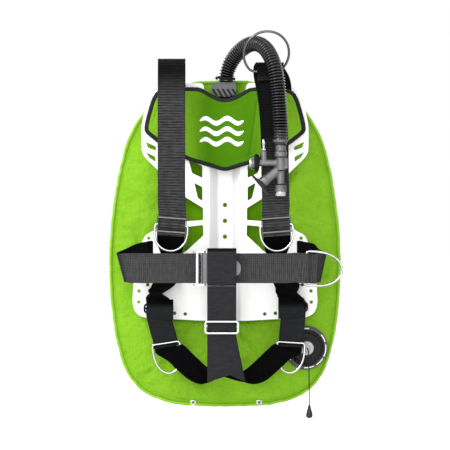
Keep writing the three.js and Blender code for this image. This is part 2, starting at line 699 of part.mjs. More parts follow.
const upright = [0, 0, 1];
const leftBeltTail = [
  { at: [-158, -110.5, BELT.z], across: upright },
  { at: [-120, BELT.y, BELT.z], across: upright },
  { at: [-78, BELT.y, BELT.z], across: upright },
  { at: [-60, -109.5, BELT.z], across: upright },
  { at: [-44, -106.4, BELT.z], across: upright },
];
const rightBeltTail = [
  { at: [112, BELT.y, BELT.z], across: upright },
  { at: [60, BELT.y, BELT.z], across: upright },
  { at: [10, BELT.y, BELT.z], across: upright },
  { at: [-38, BELT.y, BELT.z], across: upright },
];

/** Sewn loop at the crotch strap's top, around both belt ends and the buckle flap. */
function crotchLoop() {
  const [front, back, top, bottom, r] = [-129, -100, -85, -151, 7];
  const corners = [
    [front + r, top - r, 180],
    [back - r, top - r, 90],
    [back - r, bottom + r, 0],
    [front + r, bottom + r, -90],
  ];
  const path = corners.flatMap(([y, z, start]) => Array.from({ length: 5 }, (_, i) => {
    const turn = THREE.MathUtils.degToRad(start - (i / 4) * 90);
    return { at: vec(CROTCH_X, y + r * Math.cos(turn), z + r * Math.sin(turn)), across: vec(1, 0, 0) };
  }));
  return ribbon(path, BELT_WEB - 1, WEB_T, true);
}

const SLIDE = { at: [CROTCH_X, -109.5, -226.5], down: [0, 0.215, -1] };
function crotchStrap() {
  const drop = (z) => SLIDE.at[1] + (SLIDE.at[2] - z) * SLIDE.down[1];
  const heights = [-154.5, -200, -250, -290, -323];
  const list = heights.map((z) => ({ at: vec(CROTCH_X, drop(z), z), across: vec(1, 0, 0) }));
  return ribbon(list, BELT_WEB - 1);
}

const HIP = {
  left: {
    at: [-107.8, -60, -257],
    across: [1, 0, 0.15],
    down: [0.15, 0, -1],
    slide: [-121, -57, -194],
  },
  right: {
    at: [120, -60, -256],
    across: [1, 0, -0.06],
    down: [-0.06, 0, -1],
    slide: [124, -57, -191],
  },
};

/** Hip strap: out of the plate's slot and down to just above the ring bar. */
function hipStrap(side, hip) {
  const [x, wide] = [hip.at[0], hip.slide[0]];
  return ribbon(stations([
    { at: [side * 107, -27.8, -137], across: acrossFlange(side) },
    { at: [side * 110, -42, -139], across: [1, 0, 0] },
    { at: [wide - side * 4, -53, -148], across: [1, 0, 0] },
    { at: [wide, -57, -168], across: [1, 0, 0] },
    { at: [wide, -57, -205], across: [1, 0, 0] },
    { at: [(wide + x) / 2, -55.5, -232], across: hip.across },
    { at: [x, -55, -257], across: hip.across },
    { at: [x, -56.4, -264], across: hip.across },
  ], 18), HIP_WEB);
}

/** Routes of the crotch branches: from each hip ring down to the middle, twisting as they go. */
const BRANCH = {
  left: [
    { at: [-107.8, -57, -265.2], across: HIP.left.across },
    { at: [-106, -65.5, -269.5], across: [1, 0, 0.3] },
    { at: [-92, -69.5, -273], across: [0.72, 0, 0.7] },
    { at: [-74.6, -72, -289], across: [0.64, 0, 0.77] },
    { at: [-57, -72, -304.5], across: [0.5, -0.1, 0.86] },
    { at: [-42, -70, -313.5], across: [0.2, -0.45, 0.88] },
    { at: [-27, -68, -315], across: [0, -0.8, 0.58] },
    { at: [-7.2, -68, -307], across: [0, -0.86, 0.5] },
  ],
  right: [
    { at: [120, -57, -265.2], across: HIP.right.across },
    { at: [118, -65.5, -269.5], across: [1, 0, -0.3] },
    { at: [106, -70, -271], across: [0.75, 0, -0.65] },
    { at: [87, -72.5, -287], across: [0.68, 0, -0.73] },
    { at: [66, -72.5, -306], across: [0.5, 0.1, -0.86] },
    { at: [51, -70.5, -314], across: [0.2, 0.5, -0.85] },
    { at: [34, -68, -317], across: [0, 0.84, -0.5] },
    { at: [-4.6, -68, -307], across: [0, 0.86, -0.5] },
  ],
};
const crotchBranch = (stops) => ribbon(stations(stops, 20), HIP_WEB - 4);

// ---------------------------------------------------------------- metal hardware
/** Welded ring around the origin's bar: the bar along X, the bow hanging to -Z. */
function dRing({ half, depth, wire: radius }) {
  const straight = depth * 0.32;
  const bow = Array.from({ length: 13 }, (_, i) => {
    const turn = Math.PI + (i / 12) * Math.PI;
    return vec(half * Math.cos(turn), 0, -straight + (depth - straight) * Math.sin(turn));
  });
  const corner = 4;
  const points = [
    vec(half - corner, 0, 0), vec(-half + corner, 0, 0), vec(-half + 1, 0, -1), vec(-half, 0, -corner),
    ...bow, vec(half, 0, -corner), vec(half - 1, 0, -1),
  ];
  return wire(points, radius, 6, true, vec(0, 1, 0));
}

/** Chest keeper: rear frame and bar behind the strap, two bars in front of it. */
function chestKeeper() {
  const [inner, outer] = [25.4, 27.1];
  const [back0, back1, front0, front1] = [2, 4.4, -4.2, -1.7];
  const [end0, end1] = [11, 14];
  const sides = [[-outer, -inner], [inner, outer]];
  const ends = [[-end1, -end0], [end0, end1]];
  const rails = sides.map((side) => box(...side, back0, back1, -end1, end1));
  const bars = ends.map((end) => box(-outer, outer, front0, front1, ...end));
  const posts = sides.flatMap((side) => ends.map((end) => box(...side, front0, back1, ...end)));
  return join(box(-outer, outer, back0, back1, -2.5, 2.5), ...rails, ...bars, ...posts);
}

/** Rectangular slide: a wire frame in front of the strap and a bar behind it. */
function wireSlide(halfWidth, halfHeight, radius, reach) {
  const r = 4;
  const corners = [[1, 1, 0], [-1, 1, 90], [-1, -1, 180], [1, -1, 270]];
  const loop = corners.flatMap(([sx, sz, start]) => [0, 45, 90].map((step) => {
    const turn = THREE.MathUtils.degToRad(start + step);
    const corner = vec(sx * (halfWidth - r), -reach, sz * (halfHeight - r));
    return corner.add(vec(r * Math.cos(turn), 0, r * Math.sin(turn)));
  }));
  return join(
    wire(loop, radius, 6, true, vec(0, 1, 0)),
    bar(vec(-halfWidth, reach, 0), vec(halfWidth, reach, 0), radius, 6),
    bar(vec(-halfWidth, -reach, 0), vec(-halfWidth, reach + radius * 0.7, 0), radius, 6),
    bar(vec(halfWidth, -reach, 0), vec(halfWidth, reach + radius * 0.7, 0), radius, 6),
  );
}

/** Large ring for the hose: straight bar at the origin, round bow standing up. */
function hoseRing() {
  const { half, r, rise, wire: radius } = HOSE_RING_SIZE;
  const start = Math.asin(-rise / r) + 0.12;
  const bow = Array.from({ length: 21 }, (_, i) => {
    const turn = start + (i / 20) * (Math.PI - 2 * start);
    return vec(r * Math.cos(turn), 0, rise + r * Math.sin(turn));
  });
  return wire([vec(-half + 4, 0, 0), vec(half - 4, 0, 0), ...bow], radius, 6, true, vec(0, 1, 0));
}

const HOSE_RING = { at: [75, -96, 237.5], across: [1, 0, 0.05], lean: 12 };

/** Webbing patch that holds the hose ring's bar on the shoulder strap. */
function ringPatch() {
  const down = [0.02, -0.42, -0.9];
  const at = vec(...HOSE_RING.at);
  const normal = vec(1, 0, 0).cross(vec(...down)).normalize().negate();
  const base = at.clone().addScaledVector(normal, -3.4);
  const steps = [[-17, -1.2], [-10, -0.6], [-5.5, 6.2], [0, 8.8], [5.5, 6.2], [10, -0.6], [17, -1.2]];
  const list = steps.map(([along, out]) => ({
    at: base.clone().addScaledVector(vec(...down).normalize(), along).addScaledVector(normal, out),
    across: vec(...HOSE_RING.across),
  }));
  return ribbon(list, 34, 1.6);
}

const EAR_T = 3;
/** Buckle frame: two side ears, the round belt bar between them and a bar behind the tongue. */
function buckleFrame() {
  const [top, bottom] = [BELT.z + 28.5, BELT.z - 28.5];
  const outline = [[-58, -116], [-53, -119.5], [-37, -121], [-34.5, -118], [-36, -106], [-55, -108.5]];
  const ear = (z) => prismZ(outline, z, z + EAR_T);
  return join(
    ear(bottom - EAR_T), ear(top),
    bar(vec(BELT.buckleX, -113, bottom - 2), vec(BELT.buckleX, -113, top + 2), 3.2, 12),
    bar(vec(-38, -107.5, bottom - 2), vec(-38, -107.5, top + 2), 2, 10),
  );
}

/** Buckle flap: hinged between the ears, tapering to a round tip. */
function buckleFlap() {
  const [x0, x1, tall, tip] = [-41.5, 29, 26.5, 14];
  const nose = Array.from({ length: 9 }, (_, i) => {
    const turn = Math.PI / 2 - (i / 8) * Math.PI;
    return [x1 - tip * 0.7 + tip * 0.7 * Math.cos(turn), BELT.z + tip * Math.sin(turn)];
  });
  const outline = [
    [x0, BELT.z + tall], [-10, BELT.z + tall - 2],
    ...nose,
    [-10, BELT.z - tall + 2], [x0, BELT.z - tall],
  ];
  const pin = bar(vec(x0, -118.7, BELT.z - 28.1), vec(x0, -118.7, BELT.z + 28.1), 1.5, 10);
  return join(slab(outline, -119.6, -117.8), pin);
}

// ---------------------------------------------------------------- assembly
const vest = new THREE.Group();

function add(name, geometry, material) {
  geometry.computeVertexNormals();
  const mesh = new THREE.Mesh(geometry, material);
  mesh.name = name;
  vest.add(mesh);
}

function addWing() {
  const valveHole = bar(onValve(-14), onValve(30), 34, 28);
  const elbowAxis = (z) => vec(ELBOW.x, ELBOW.y, z);
  const elbowPocket = bar(elbowAxis(ELBOW.z - 4.5), elbowAxis(260), 13.2, 20);
  const elbowRim = bar(elbowAxis(ELBOW.z + 15), elbowAxis(260), 14.8, 20);
  const rimClear = bar(onValve(2.2), onValve(30), 42, 28);
  const seamHoles = GROMMETS.map(grommetHole);
  const fittings = [valveHole, elbowPocket, elbowRim];
  add('wing_front_shell', cut(wingShell(frontY, 1), ...fittings, rimClear, ...seamHoles), wingFabric);
  add('wing_back_shell', cut(wingShell(backY, -1), ...seamHoles), wingFabric);
  add('inner_bladder', cut(bladderRing(1), bladderRing(FILM_SHARE), ...fittings), bladderFilm);
  add('centre_panel', centrePanel(), panelFabric);
  const { half, z0, z1, t } = TANK_PAD;
  add('tank_pad', box(-half, half, -t, 0, z0, z1), rubber);
  add('bladder_zip', bladderZip(), blackPlastic);
  add('zip_slider', zipSlider(), steel);
  add('left_grommet', grommet(GROMMETS[0]), steel);
  add('right_grommet', grommet(GROMMETS[1]), steel);
}

function addDumpValve() {
  const knobTop = CORD_ROUTE[CORD_ROUTE.length - 1];
  add('valve_seat', valveSeat(), blackPlastic);
  add('valve_ring', valveRing(), blackPlastic);
  add('valve_plunger', valvePlunger(), greyPlastic);
  add('valve_spring', valveSpring(), steel);
  add('pull_cord', tubeAlong(CORD_ROUTE, CORD_R, 8, 22), blackPlastic);
  add('pull_knob', turned([
    [0, -0.4], [2.2, -0.4], [3.4, -5], [6, -14], [6.3, -18], [4.6, -22], [0, -23.4],
  ], vec(...knobTop), vec(0, 0, 1), 14), blackPlastic);
}

function addInflator() {
  add('hose_elbow', elbow(), blackPlastic);
  add('corrugated_hose', tubeAlong(HOSE_ROUTE, HOSE_R, 10, 22), rubber);
  add('elbow_hose_tie', hoseTie(vec(2.7, -20.3, 226.5), vec(0.1, -0.05, 1), 15.6), blackPlastic);
  add('inflator_cuff', inflatorCuff(), rubber);
  add('inflator_hose_tie', hoseTie(inflatorAxis(110), vec(0, 0, 1), 12.3), blackPlastic);
  add('inflator_body', inflatorBody(), greyPlastic);
  add('inflate_button_ring', buttonRing(), blackPlastic);
  add('inflate_button', inflateButton(), steel);
  add('inflate_spring', inflateSpring(), steel);
  add('deflate_button', deflateButton(), steel);
  add('deflate_spring', deflateSpring(), steel);
  add('lp_nipple', lpNipple(), steel);
  add('mouthpiece', mouthpiece(), rubber);
}

function addPlate() {
  add('backplate', backplate(), platePaint);
  add('back_pad', backPad(), padFabric);
  add('pad_binding', padBinding(), binding);
  add('hose_tab', slab(TAB, -36.4, -34.9), tabFabric);
}

function addHarness() {
  add('left_shoulder_strap', shoulderStrap(-1, STRAP_X.left, 259.5, CHEST.left), webbing);
  add('right_shoulder_strap', shoulderStrap(1, STRAP_X.right, 253, CHEST.right), webbing);
  add('left_waist_belt', waistBelt(-1, 189, 0.27, leftBeltTail, null), webbing);
  add('right_waist_belt', waistBelt(1, 178, 0.22, rightBeltTail, WAIST_RING.x), webbing);
  add('crotch_loop', crotchLoop(), webbing);
  add('crotch_strap', crotchStrap(), webbing);
  add('left_hip_strap', hipStrap(-1, HIP.left), webbing);
  add('right_hip_strap', hipStrap(1, HIP.right), webbing);
  add('left_crotch_branch', crotchBranch(BRANCH.left), webbing);
  add('right_crotch_branch', crotchBranch(BRANCH.right), webbing);
  add('hose_ring_patch', ringPatch(), webbing);
}

function addHardware() {
  for (const [name, chest] of Object.entries(CHEST)) {
    add(`${name}_chest_keeper`, place(chestKeeper(), chest.at, chest.across, chest.down), steel);
    const ring = moved(dRing(CHEST_RING), 0, -1.4, 0);
    add(`${name}_chest_d_ring`, place(ring, chest.at, chest.across, chest.down), steel);
  }
  for (const [name, hip] of Object.entries(HIP)) {
    add(`${name}_hip_d_ring`, place(dRing(HIP_RING), hip.at, hip.across, hip.down), steel);
    const slide = place(wireSlide(25.4, 7.5, 1.8, 3.6), hip.slide, [1, 0, 0], [0, 0, -1]);
    add(`${name}_hip_slide`, slide, blackPlastic);
  }
  const waistAt = [WAIST_RING.x, BELT.y - 1.4, BELT.z];
  add('waist_d_ring', place(dRing(WAIST_RING), waistAt, [-0.06, 0, -1], [1, 0, -0.06]), steel);
  const lean = Math.sin(THREE.MathUtils.degToRad(HOSE_RING.lean));
  const ring = place(hoseRing(), [0, 0, 0], HOSE_RING.across, [0, lean, -1]);
  add('hose_ring', moved(ring, ...HOSE_RING.at), steel);
  add('buckle_frame', buckleFrame(), steel);
  add('buckle_flap', buckleFlap(), steel);
  add('crotch_slide', place(wireSlide(29.2, 11.8, 2, 3.8), SLIDE.at, [1, 0, 0], SLIDE.down), steel);
}

addWing();
addDumpValve();
addInflator();
addPlate();
addHarness();
addHardware();

export default vest;
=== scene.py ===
import math
import random

import bmesh
import bpy
import numpy as np
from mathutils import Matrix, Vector, noise


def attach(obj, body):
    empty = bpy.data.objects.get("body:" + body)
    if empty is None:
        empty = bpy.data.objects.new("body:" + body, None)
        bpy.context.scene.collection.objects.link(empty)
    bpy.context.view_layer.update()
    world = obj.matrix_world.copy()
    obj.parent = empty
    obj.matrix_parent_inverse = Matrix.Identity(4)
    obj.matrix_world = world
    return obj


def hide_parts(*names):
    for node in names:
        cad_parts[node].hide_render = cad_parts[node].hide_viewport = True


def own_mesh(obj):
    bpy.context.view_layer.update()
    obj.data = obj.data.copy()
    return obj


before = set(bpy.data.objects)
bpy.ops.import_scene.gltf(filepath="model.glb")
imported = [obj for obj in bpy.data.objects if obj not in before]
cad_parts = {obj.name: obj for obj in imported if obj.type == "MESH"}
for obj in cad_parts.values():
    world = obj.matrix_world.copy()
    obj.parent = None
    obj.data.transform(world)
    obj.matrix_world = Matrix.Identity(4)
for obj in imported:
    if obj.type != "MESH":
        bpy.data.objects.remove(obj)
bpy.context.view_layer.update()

# The vest's visible pieces. Points are written in millimetres in the frame's own axes (+Z up,
# +Y towards the tank) and become metres in the meshes. Only the camera, the floor, the lamps and
# the two cord routes are in metres.
MM = 0.001

# ------------------------------------------------------------------ driving sizes
CAMERA = {"distance": 9.0, "width": 0.819, "centre_z": -0.042, "subject_y": -0.06, "sensor": 36}
FLOOR_Z, FLOOR_REACH = -0.4, 60
LAMPS = {  # place, size and power
    "key": ((-2.2, -2.2, 2.0), 1.2, 110),
    "front": ((-0.4, -4.2, 0.5), 2.4, 75),
    "fill": ((2.6, -2.4, 0.6), 1.6, 8),
    "top": ((0.3, 0.5, 2.6), 1.4, 30),
    "behind": ((0.6, 2.8, 1.0), 2.0, 26),
}
LAMPS_AIM = (0, 0, -0.05)

WEB = 50  # harness webbing width
WEB_T = 2.3  # and thickness
BELT_WEB = 54
HIP_WEB = 45  # lighter webbing of the hip straps and crotch branches

WING = {
    "seam_y": -5, "flange": 10, "shell": 1.15, "front": 20, "back": 50,
    "hole_r": 72, "spine_top": 78, "spine_bottom": -178, "around": 420, "across": 34,
}
WING_EDGE = [
    (0, 222), (52, 220), (100, 204), (146, 168), (174, 122), (189, 76), (203, 0), (211, -90),
    (208, -185), (196, -262), (177, -316), (148, -348), (98, -368), (48, -373), (0, -374),
]
GROMMETS = [(-58.5, -367.2), (62.5, -367)]

VALVE_AT = np.array([146.5, -22, -265.5])
VALVE_OUT = np.array([0.2, -0.97, -0.1]) / np.linalg.norm([0.2, -0.97, -0.1])
VALVE_SEAT = {"depth": 1.8, "flat_r": 38, "reach_r": 70, "slope": 0.42}  # dent in the cover below it
ELBOW_X = 1.8
ELBOW_DENT = {"from_z": 176, "y": -5.9, "drop": 4, "flat": 14.5, "reach": 20}

PLATE = {"t": 3, "floor_y": -10, "floor_x": 14, "bend_x": 28, "flange_y": -27, "slope": 0.07}
PLATE_EDGE = [
    (0, 186), (28, 187), (36, 194), (39, 214), (44, 217.5), (106, 215.5), (122, 211), (132, 203),
    (146.5, 170), (152.5, 138), (152.5, 95), (148, 83), (116, 52), (101, 34), (97, 0), (101, -30),
    (131, -53), (145, -60), (151, -71), (157, -100), (167, -146), (169, -186), (163, -203),
    (148, -211), (93, -214), (36, -217), (0, -217),
]
PLATE_WINDOWS = [
    [(41.3, 65.7), (66.7, 77.8), (60, 52.6), (41.3, 43.9)],
    [(41.3, 27.2), (56, 35), (49.5, 7), (41.3, 2)],
    [(40, -11), (84, 16), (84, -36), (40, -33)],
    [(40, -42), (84, -47), (84, -98), (70, -89), (39.5, -61)],
    [(145, 110), (126, 101), (126, 93.5), (141, 99)],
    [(145, 91.5), (127, 82.5), (126.5, 73), (138, 80.5)],
]
PLATE_HOLES = [(157, -162.5), (157.5, -182.5), (141, -151), (92, -203), (72.5, -204.5), (139, -66)]
SPINE_HOLES = [-5.4, -34.4, -63.4]
SLOTS = [(69, 123, 185, 199), (69, 123, -113, -105), (79, 133, -141, -133), (131, 143, -127.5, -70.5)]
CAM_SLOTS = [(side * 34.5, z) for z in (80, -80) for side in (-1, 1)]

PAD_TOP = [(0, 189), (10, 190), (28, 199), (44, 209), (64, 210), (106, 208), (119, 205),
           (127, 200), (135, 186), (145, 150), (148, 132)]
PAD_FOOT = [(0, 55), (70, 76), (118, 104), (144, 124), (148, 132)]

BELT = {"z": -120.2, "y": -112, "buckle_x": -50}
CROTCH_X = -5.9
ARCH = 5.4

HOSE_R = 14.5
HOSE_LENGTH = 0.319
HOSE_ROUTE = [
    (0.0018, -0.020, 0.2145), (0.0018, -0.020, 0.220), (0.0026, -0.0203, 0.227),
    (0.0054, -0.022, 0.240), (0.0108, -0.026, 0.254), (0.0198, -0.033, 0.2675),
    (0.032, -0.0445, 0.2795), (0.046, -0.060, 0.287), (0.060, -0.077, 0.287),
    (0.072, -0.093, 0.279), (0.0815, -0.107, 0.265), (0.0885, -0.117, 0.247),
    (0.093, -0.1225, 0.226), (0.096, -0.125, 0.203), (0.098, -0.1264, 0.178),
    (0.0994, -0.1272, 0.152), (0.1001, -0.1275, 0.132), (0.1001, -0.1275, 0.126),
    (0.1001, -0.1275, 0.120),
]
CORD_ROUTE = [
    (0.1502, -0.0389, -0.2673), (0.1506, -0.0412, -0.2676), (0.1512, -0.0436, -0.2686),
    (0.1518, -0.0454, -0.271), (0.1522, -0.0462, -0.275), (0.1525, -0.0464, -0.282),
    (0.1528, -0.0464, -0.295), (0.1531, -0.0464, -0.310), (0.1533, -0.0464, -0.325),
    (0.1535, -0.0464, -0.340), (0.1536, -0.0464, -0.355), (0.1537, -0.0464, -0.3706),
]

INF_X, INF_Y, PORT_Z, RING_X, BUTTON_X = 100.1, -127.5, 70.4, 47.4, 43
MOUTH_AT = (68.6, INF_Y, 34.3)

CHEST = {
    "left": ((-97, -100, -42), (1, 0, -0.075), (-0.075, 0, -1)),
    "right": ((92.8, -100, -42), (1, 0, 0.075), (0.075, 0, -1)),
}
HIP = {
    "left": ((-107.8, -60, -257), (1, 0, 0.15), (0.15, 0, -1)),
    "right": ((120, -60, -256), (1, 0, -0.06), (-0.06, 0, -1)),
}
HIP_SLIDE = {"left": (-121, -57, -194), "right": (124, -57, -191)}
HIP_TWIST = {"left": (-5, (0.5, -0.85, 0)), "right": (-11, (0.78, -0.6, 0.1))}  # half-turned above the slide
CHEST_RING = {"half": 29.6, "depth": 47, "wire": 2}
HIP_RING = {"half": 25, "depth": 55, "wire": 2}
WAIST_RING = {"x": 146, "half": 30.6, "depth": 66.2, "wire": 2.1}
HOSE_RING_SIZE = {"half": 26, "r": 41, "rise": 31.5, "wire": 2.3}
TAB = [(-25, 198.7), (-12, 193), (0, 191.5), (10, 192.5), (20, 196.4), (20, 218), (-25, 218)]
SLIDE_AT, SLIDE_DOWN = (CROTCH_X, -109.5, -226.5), (0, 0.215, -1)
HOSE_RING_AT, HOSE_RING_ACROSS, HOSE_RING_LEAN = (75, -96, 237.5), (1, 0, 0.05), 12

random.seed(7)


# ------------------------------------------------------------------ camera, floor and light
def make_stage():
    scene = bpy.context.scene
    camera = bpy.data.objects.new("camera", bpy.data.cameras.new("camera"))
    scene.collection.objects.link(camera)
    camera.location = (0, CAMERA["subject_y"] - CAMERA["distance"], CAMERA["centre_z"])
    camera.rotation_euler = (math.pi / 2, 0, 0)
    camera.data.sensor_width = CAMERA["sensor"]
    camera.data.lens = CAMERA["sensor"] * CAMERA["distance"] / CAMERA["width"]
    camera.data.clip_end = 200
    scene.camera = camera
    scene.view_settings.view_transform = "Standard"

    floor = bpy.data.objects.new("floor", bpy.data.meshes.new("floor"))
    corners = rectangle(-FLOOR_REACH, FLOOR_REACH, -FLOOR_REACH, FLOOR_REACH)
    floor.data.from_pydata([(x, y, FLOOR_Z) for x, y in corners], [], [(0, 1, 2, 3)])
    scene.collection.objects.link(floor)
    floor.data.materials.append(floor_material())

    for name, (at, size, power) in LAMPS.items():
        lamp = bpy.data.objects.new(name, bpy.data.lights.new(name, "AREA"))
        lamp.data.energy = power
        lamp.data.size = size
        lamp.location = at
        lamp.rotation_euler = (Vector(LAMPS_AIM) - Vector(at)).to_track_quat("-Z", "Y").to_euler()
        scene.collection.objects.link(lamp)

    world = bpy.data.worlds.new("studio")
    world.use_nodes = True
    back = world.node_tree.nodes["Background"]
    back.inputs["Color"].default_value = (1, 1, 1, 1)
    back.inputs["Strength"].default_value = 1.0
    scene.world = world


def floor_material():
    """Paper that lights itself a little, so that it stays near white."""
    paper = Finish("floor_paper", (0.35, 0.35, 0.35), 0.95)
    paper.shader.inputs["Emission Color"].default_value = (1, 1, 1, 1)
    paper.shader.inputs["Emission Strength"].default_value = 0.75
    return paper.done()


# ------------------------------------------------------------------ materials
class Finish:
    """One node material, built step by step around its Principled shader."""

    def __init__(self, name, color, roughness, metallic=0.0, **constants):
        self.material = bpy.data.materials.new(name)
        self.material.use_nodes = True
        self.tree = self.material.node_tree
        self.shader = self.tree.nodes["Principled BSDF"]
        self.shader.inputs["Base Color"].default_value = (*color, 1)
        self.shader.inputs["Roughness"].default_value = roughness
        self.shader.inputs["Metallic"].default_value = metallic
        for key, value in constants.items():
            self.shader.inputs[key.replace("_", " ")].default_value = value
        self.color = color
        self.heights = []

    def node(self, kind, operation=None, **inputs):
        made = self.tree.nodes.new(kind)
        if operation:
            made.operation = operation
        for key, value in inputs.items():
            by_place = key[0] == "i" and key[1:].isdigit()
            socket = made.inputs[int(key[1:]) if by_place else key.replace("_", " ")]
            if isinstance(value, bpy.types.NodeSocket):
                self.tree.links.new(value, socket)
            else:
                socket.default_value = value
        return made

    def math(self, operation, a, b=0.0):
        return self.node("ShaderNodeMath", operation, i0=a, i1=b).outputs[0]

    def place(self, scale, layer=None):
        """Object coordinates in millimetres, or a strap's own across and along, scaled."""
        if layer:
            source = self.tree.nodes.new("ShaderNodeUVMap")
            source.uv_map = layer
            vector = source.outputs["UV"]
        else:
            vector = self.node("ShaderNodeTexCoord").outputs["Object"]
        mm = [1000 * s for s in (scale if isinstance(scale, tuple) else (scale,) * 3)]
        return self.node("ShaderNodeVectorMath", "MULTIPLY", i0=vector, i1=mm).outputs[0]

    def axes(self, vector):
        split = self.node("ShaderNodeSeparateXYZ", Vector=vector)
        return split.outputs["X"], split.outputs["Y"], split.outputs["Z"]

    def noise(self, scale, detail=4.0, rough=0.55, layer=None):
        made = self.node("ShaderNodeTexNoise", Vector=self.place(scale, layer), Scale=1.0, Detail=detail,
                         Roughness=rough)
        return made.outputs["Fac"]

    def ramp(self, value, low, high, to_low=0.0, to_high=1.0):
        made = self.node("ShaderNodeMapRange", Value=value, From_Min=low, From_Max=high,
                         To_Min=to_low, To_Max=to_high)
        return made.outputs["Result"]

    def tint(self, factor, other):
        """Mixes the colour so far towards another one."""
        mix = self.tree.nodes.new("ShaderNodeMix")
        mix.data_type = "RGBA"
        self.tree.links.new(factor, mix.inputs["Factor"])
        if isinstance(self.color, bpy.types.NodeSocket):
            self.tree.links.new(self.color, mix.inputs["A"])
        else:
            mix.inputs["A"].default_value = (*self.color, 1)
        mix.inputs["B"].default_value = (*other, 1)
        self.color = mix.outputs["Result"]
        self.tree.links.new(self.color, self.shader.inputs["Base Color"])
        return self

    def gloss(self, value, low, high):
        """Roughness varies between two values with a texture."""
        self.tree.links.new(self.ramp(value, 0.3, 0.7, low, high), self.shader.inputs["Roughness"])
        return self

    def sides(self, start, end, share):
        """Mask for painted shade: grows to a share where the surface turns from the front or back to the
        side.
        """
        _, facing, _ = self.axes(self.node("ShaderNodeNewGeometry").outputs["Normal"])
        return self.ramp(self.math("ABSOLUTE", facing), start, end, 0.0, share)

    def raise_by(self, value, height):
        """Adds a bump of so many millimetres."""
        self.heights.append(self.math("MULTIPLY", value, height * MM))
        return self

    def done(self):
        if self.heights:
            total = self.heights[0]
            for h in self.heights[1:]:
                total = self.math("ADD", total, h)
            bump = self.node("ShaderNodeBump", Height=total, Distance=1.0, Strength=1.0)
            self.tree.links.new(bump.outputs["Normal"], self.shader.inputs["Normal"])
        return self.material


def grey(value, blue=None):
    """Grey, with its own blue where it is a little cool or warm."""
    return (value, value, value if blue is None else blue)


def sine(finish, value, period):
    """Wave between 0 and 1 with a period in millimetres."""
    turns = finish.math("MULTIPLY", value, 2 * math.pi / period)
    half = finish.math("MULTIPLY", finish.math("SINE", turns), 0.5)
    return finish.math("ADD", half, 0.5)


def cloth(name, color, dark, light, weave=1.1, bump=0.10, rumple=0.0):
    """Woven nylon: threads both ways, slubs along them, and a soft mottle."""
    f = Finish(name, color, 0.80, Specular_IOR_Level=0.06)
    x, y, z = f.axes(f.place(1.0))
    warp = sine(f, f.math("ADD", x, y), weave)
    weft = sine(f, f.math("ADD", z, y), weave)
    threads = f.math("MULTIPLY", warp, weft)
    slub_up = f.noise((0.45, 0.45, 0.06), 3)
    slub_over = f.noise((0.06, 0.06, 0.45), 3)
    mottle = f.noise(0.02, 5)
    f.tint(f.ramp(threads, 0.0, 0.9, 0.30, 0.0), dark)
    f.tint(f.ramp(slub_up, 0.35, 0.70, 0.0, 0.30), light)
    f.tint(f.ramp(slub_over, 0.35, 0.70, 0.0, 0.24), dark)
    f.tint(f.ramp(mottle, 0.40, 0.75, 0.0, 0.30), dark)
    f.gloss(mottle, 0.72, 0.88)
    f.raise_by(threads, bump).raise_by(slub_up, 0.12).raise_by(slub_over, 0.12)
    f.raise_by(f.noise(0.09, 3), 1.1).raise_by(f.noise(0.030, 3), rumple)
    return f


def pad_cloth():
    """Stretch nylon over foam, with painted shade darkening the middle."""
    f = cloth("pad_cloth", (0.165, 0.370, 0.014), (0.10, 0.26, 0.005), (0.25, 0.48, 0.035), weave=0.8)
    x, _, _ = f.axes(f.place(1.0))
    off = f.math("ABSOLUTE", f.math("SUBTRACT", x, 8.0))
    middle = f.node("ShaderNodeMapRange", Value=off, From_Min=34.0, From_Max=88.0, To_Min=0.90, To_Max=0.0)
    middle.interpolation_type = "SMOOTHSTEP"
    # painted shade: darker green over the middle of the pad
    f.tint(middle.outputs["Result"], (0.042, 0.150, 0.0004))
    return f.done()


def web(name, base, line, pitch=4.4, grid=0.35, shine=0.04, shade=None, rear=None):
    """Harness webbing: ribs across, cords along and dusty wear.

    Painted shade darkens it where shadow falls: shade is (from z, to z, how much), rear the same in y.
    """
    f = Finish(name, base, 0.66, Specular_IOR_Level=shine)
    across, along, _ = f.axes(f.place(1.0, "strap"))
    rib = f.math("POWER", sine(f, along, pitch), 4.0)
    fine = sine(f, along, pitch / 4)
    cords = f.math("POWER", sine(f, across, 3.1), 2.0)
    worn = f.noise((0.10, 0.02, 0.1), 4, layer="strap")
    patch = f.noise((0.05, 0.35, 0.1), 3, layer="strap")
    f.tint(f.math("MULTIPLY", rib, f.ramp(worn, 0.30, 0.65, 0.25, 1.0)), line)
    f.tint(f.math("MULTIPLY", cords, grid), line)
    f.tint(f.ramp(patch, 0.42, 0.72, 0.0, 0.5), line)
    f.tint(f.ramp(f.noise((0.8, 0.8, 0.8), 2, layer="strap"), 0.35, 0.75, 0.0, 0.25), line)
    _, y, z = f.axes(f.place(1.0))
    # painted shade: near-black by height (shade) and towards the back (rear)
    for level, limits in ((z, shade), (y, rear)):
        if limits:
            start, end, share = limits
            f.tint(f.ramp(level, start, end, 0.0, share), (0.0008, 0.0008, 0.0009))
    f.gloss(worn, 0.52, 0.74)
    f.raise_by(rib, 0.30).raise_by(fine, 0.07).raise_by(cords, 0.12)
    return f.done()


def tape():
    """Edge binding: fine ribs along its length."""
    f = Finish("binding_tape", (0.006, 0.007, 0.006), 0.66, Specular_IOR_Level=0.15)
    across, along, _ = f.axes(f.place(1.0, "strap"))
    rib = sine(f, along, 1.6)
    cords = sine(f, across, 1.3)
    f.tint(f.math("MULTIPLY", rib, 0.45), (0.030, 0.034, 0.028))
    f.raise_by(rib, 0.12).raise_by(cords, 0.08)
    return f.done()


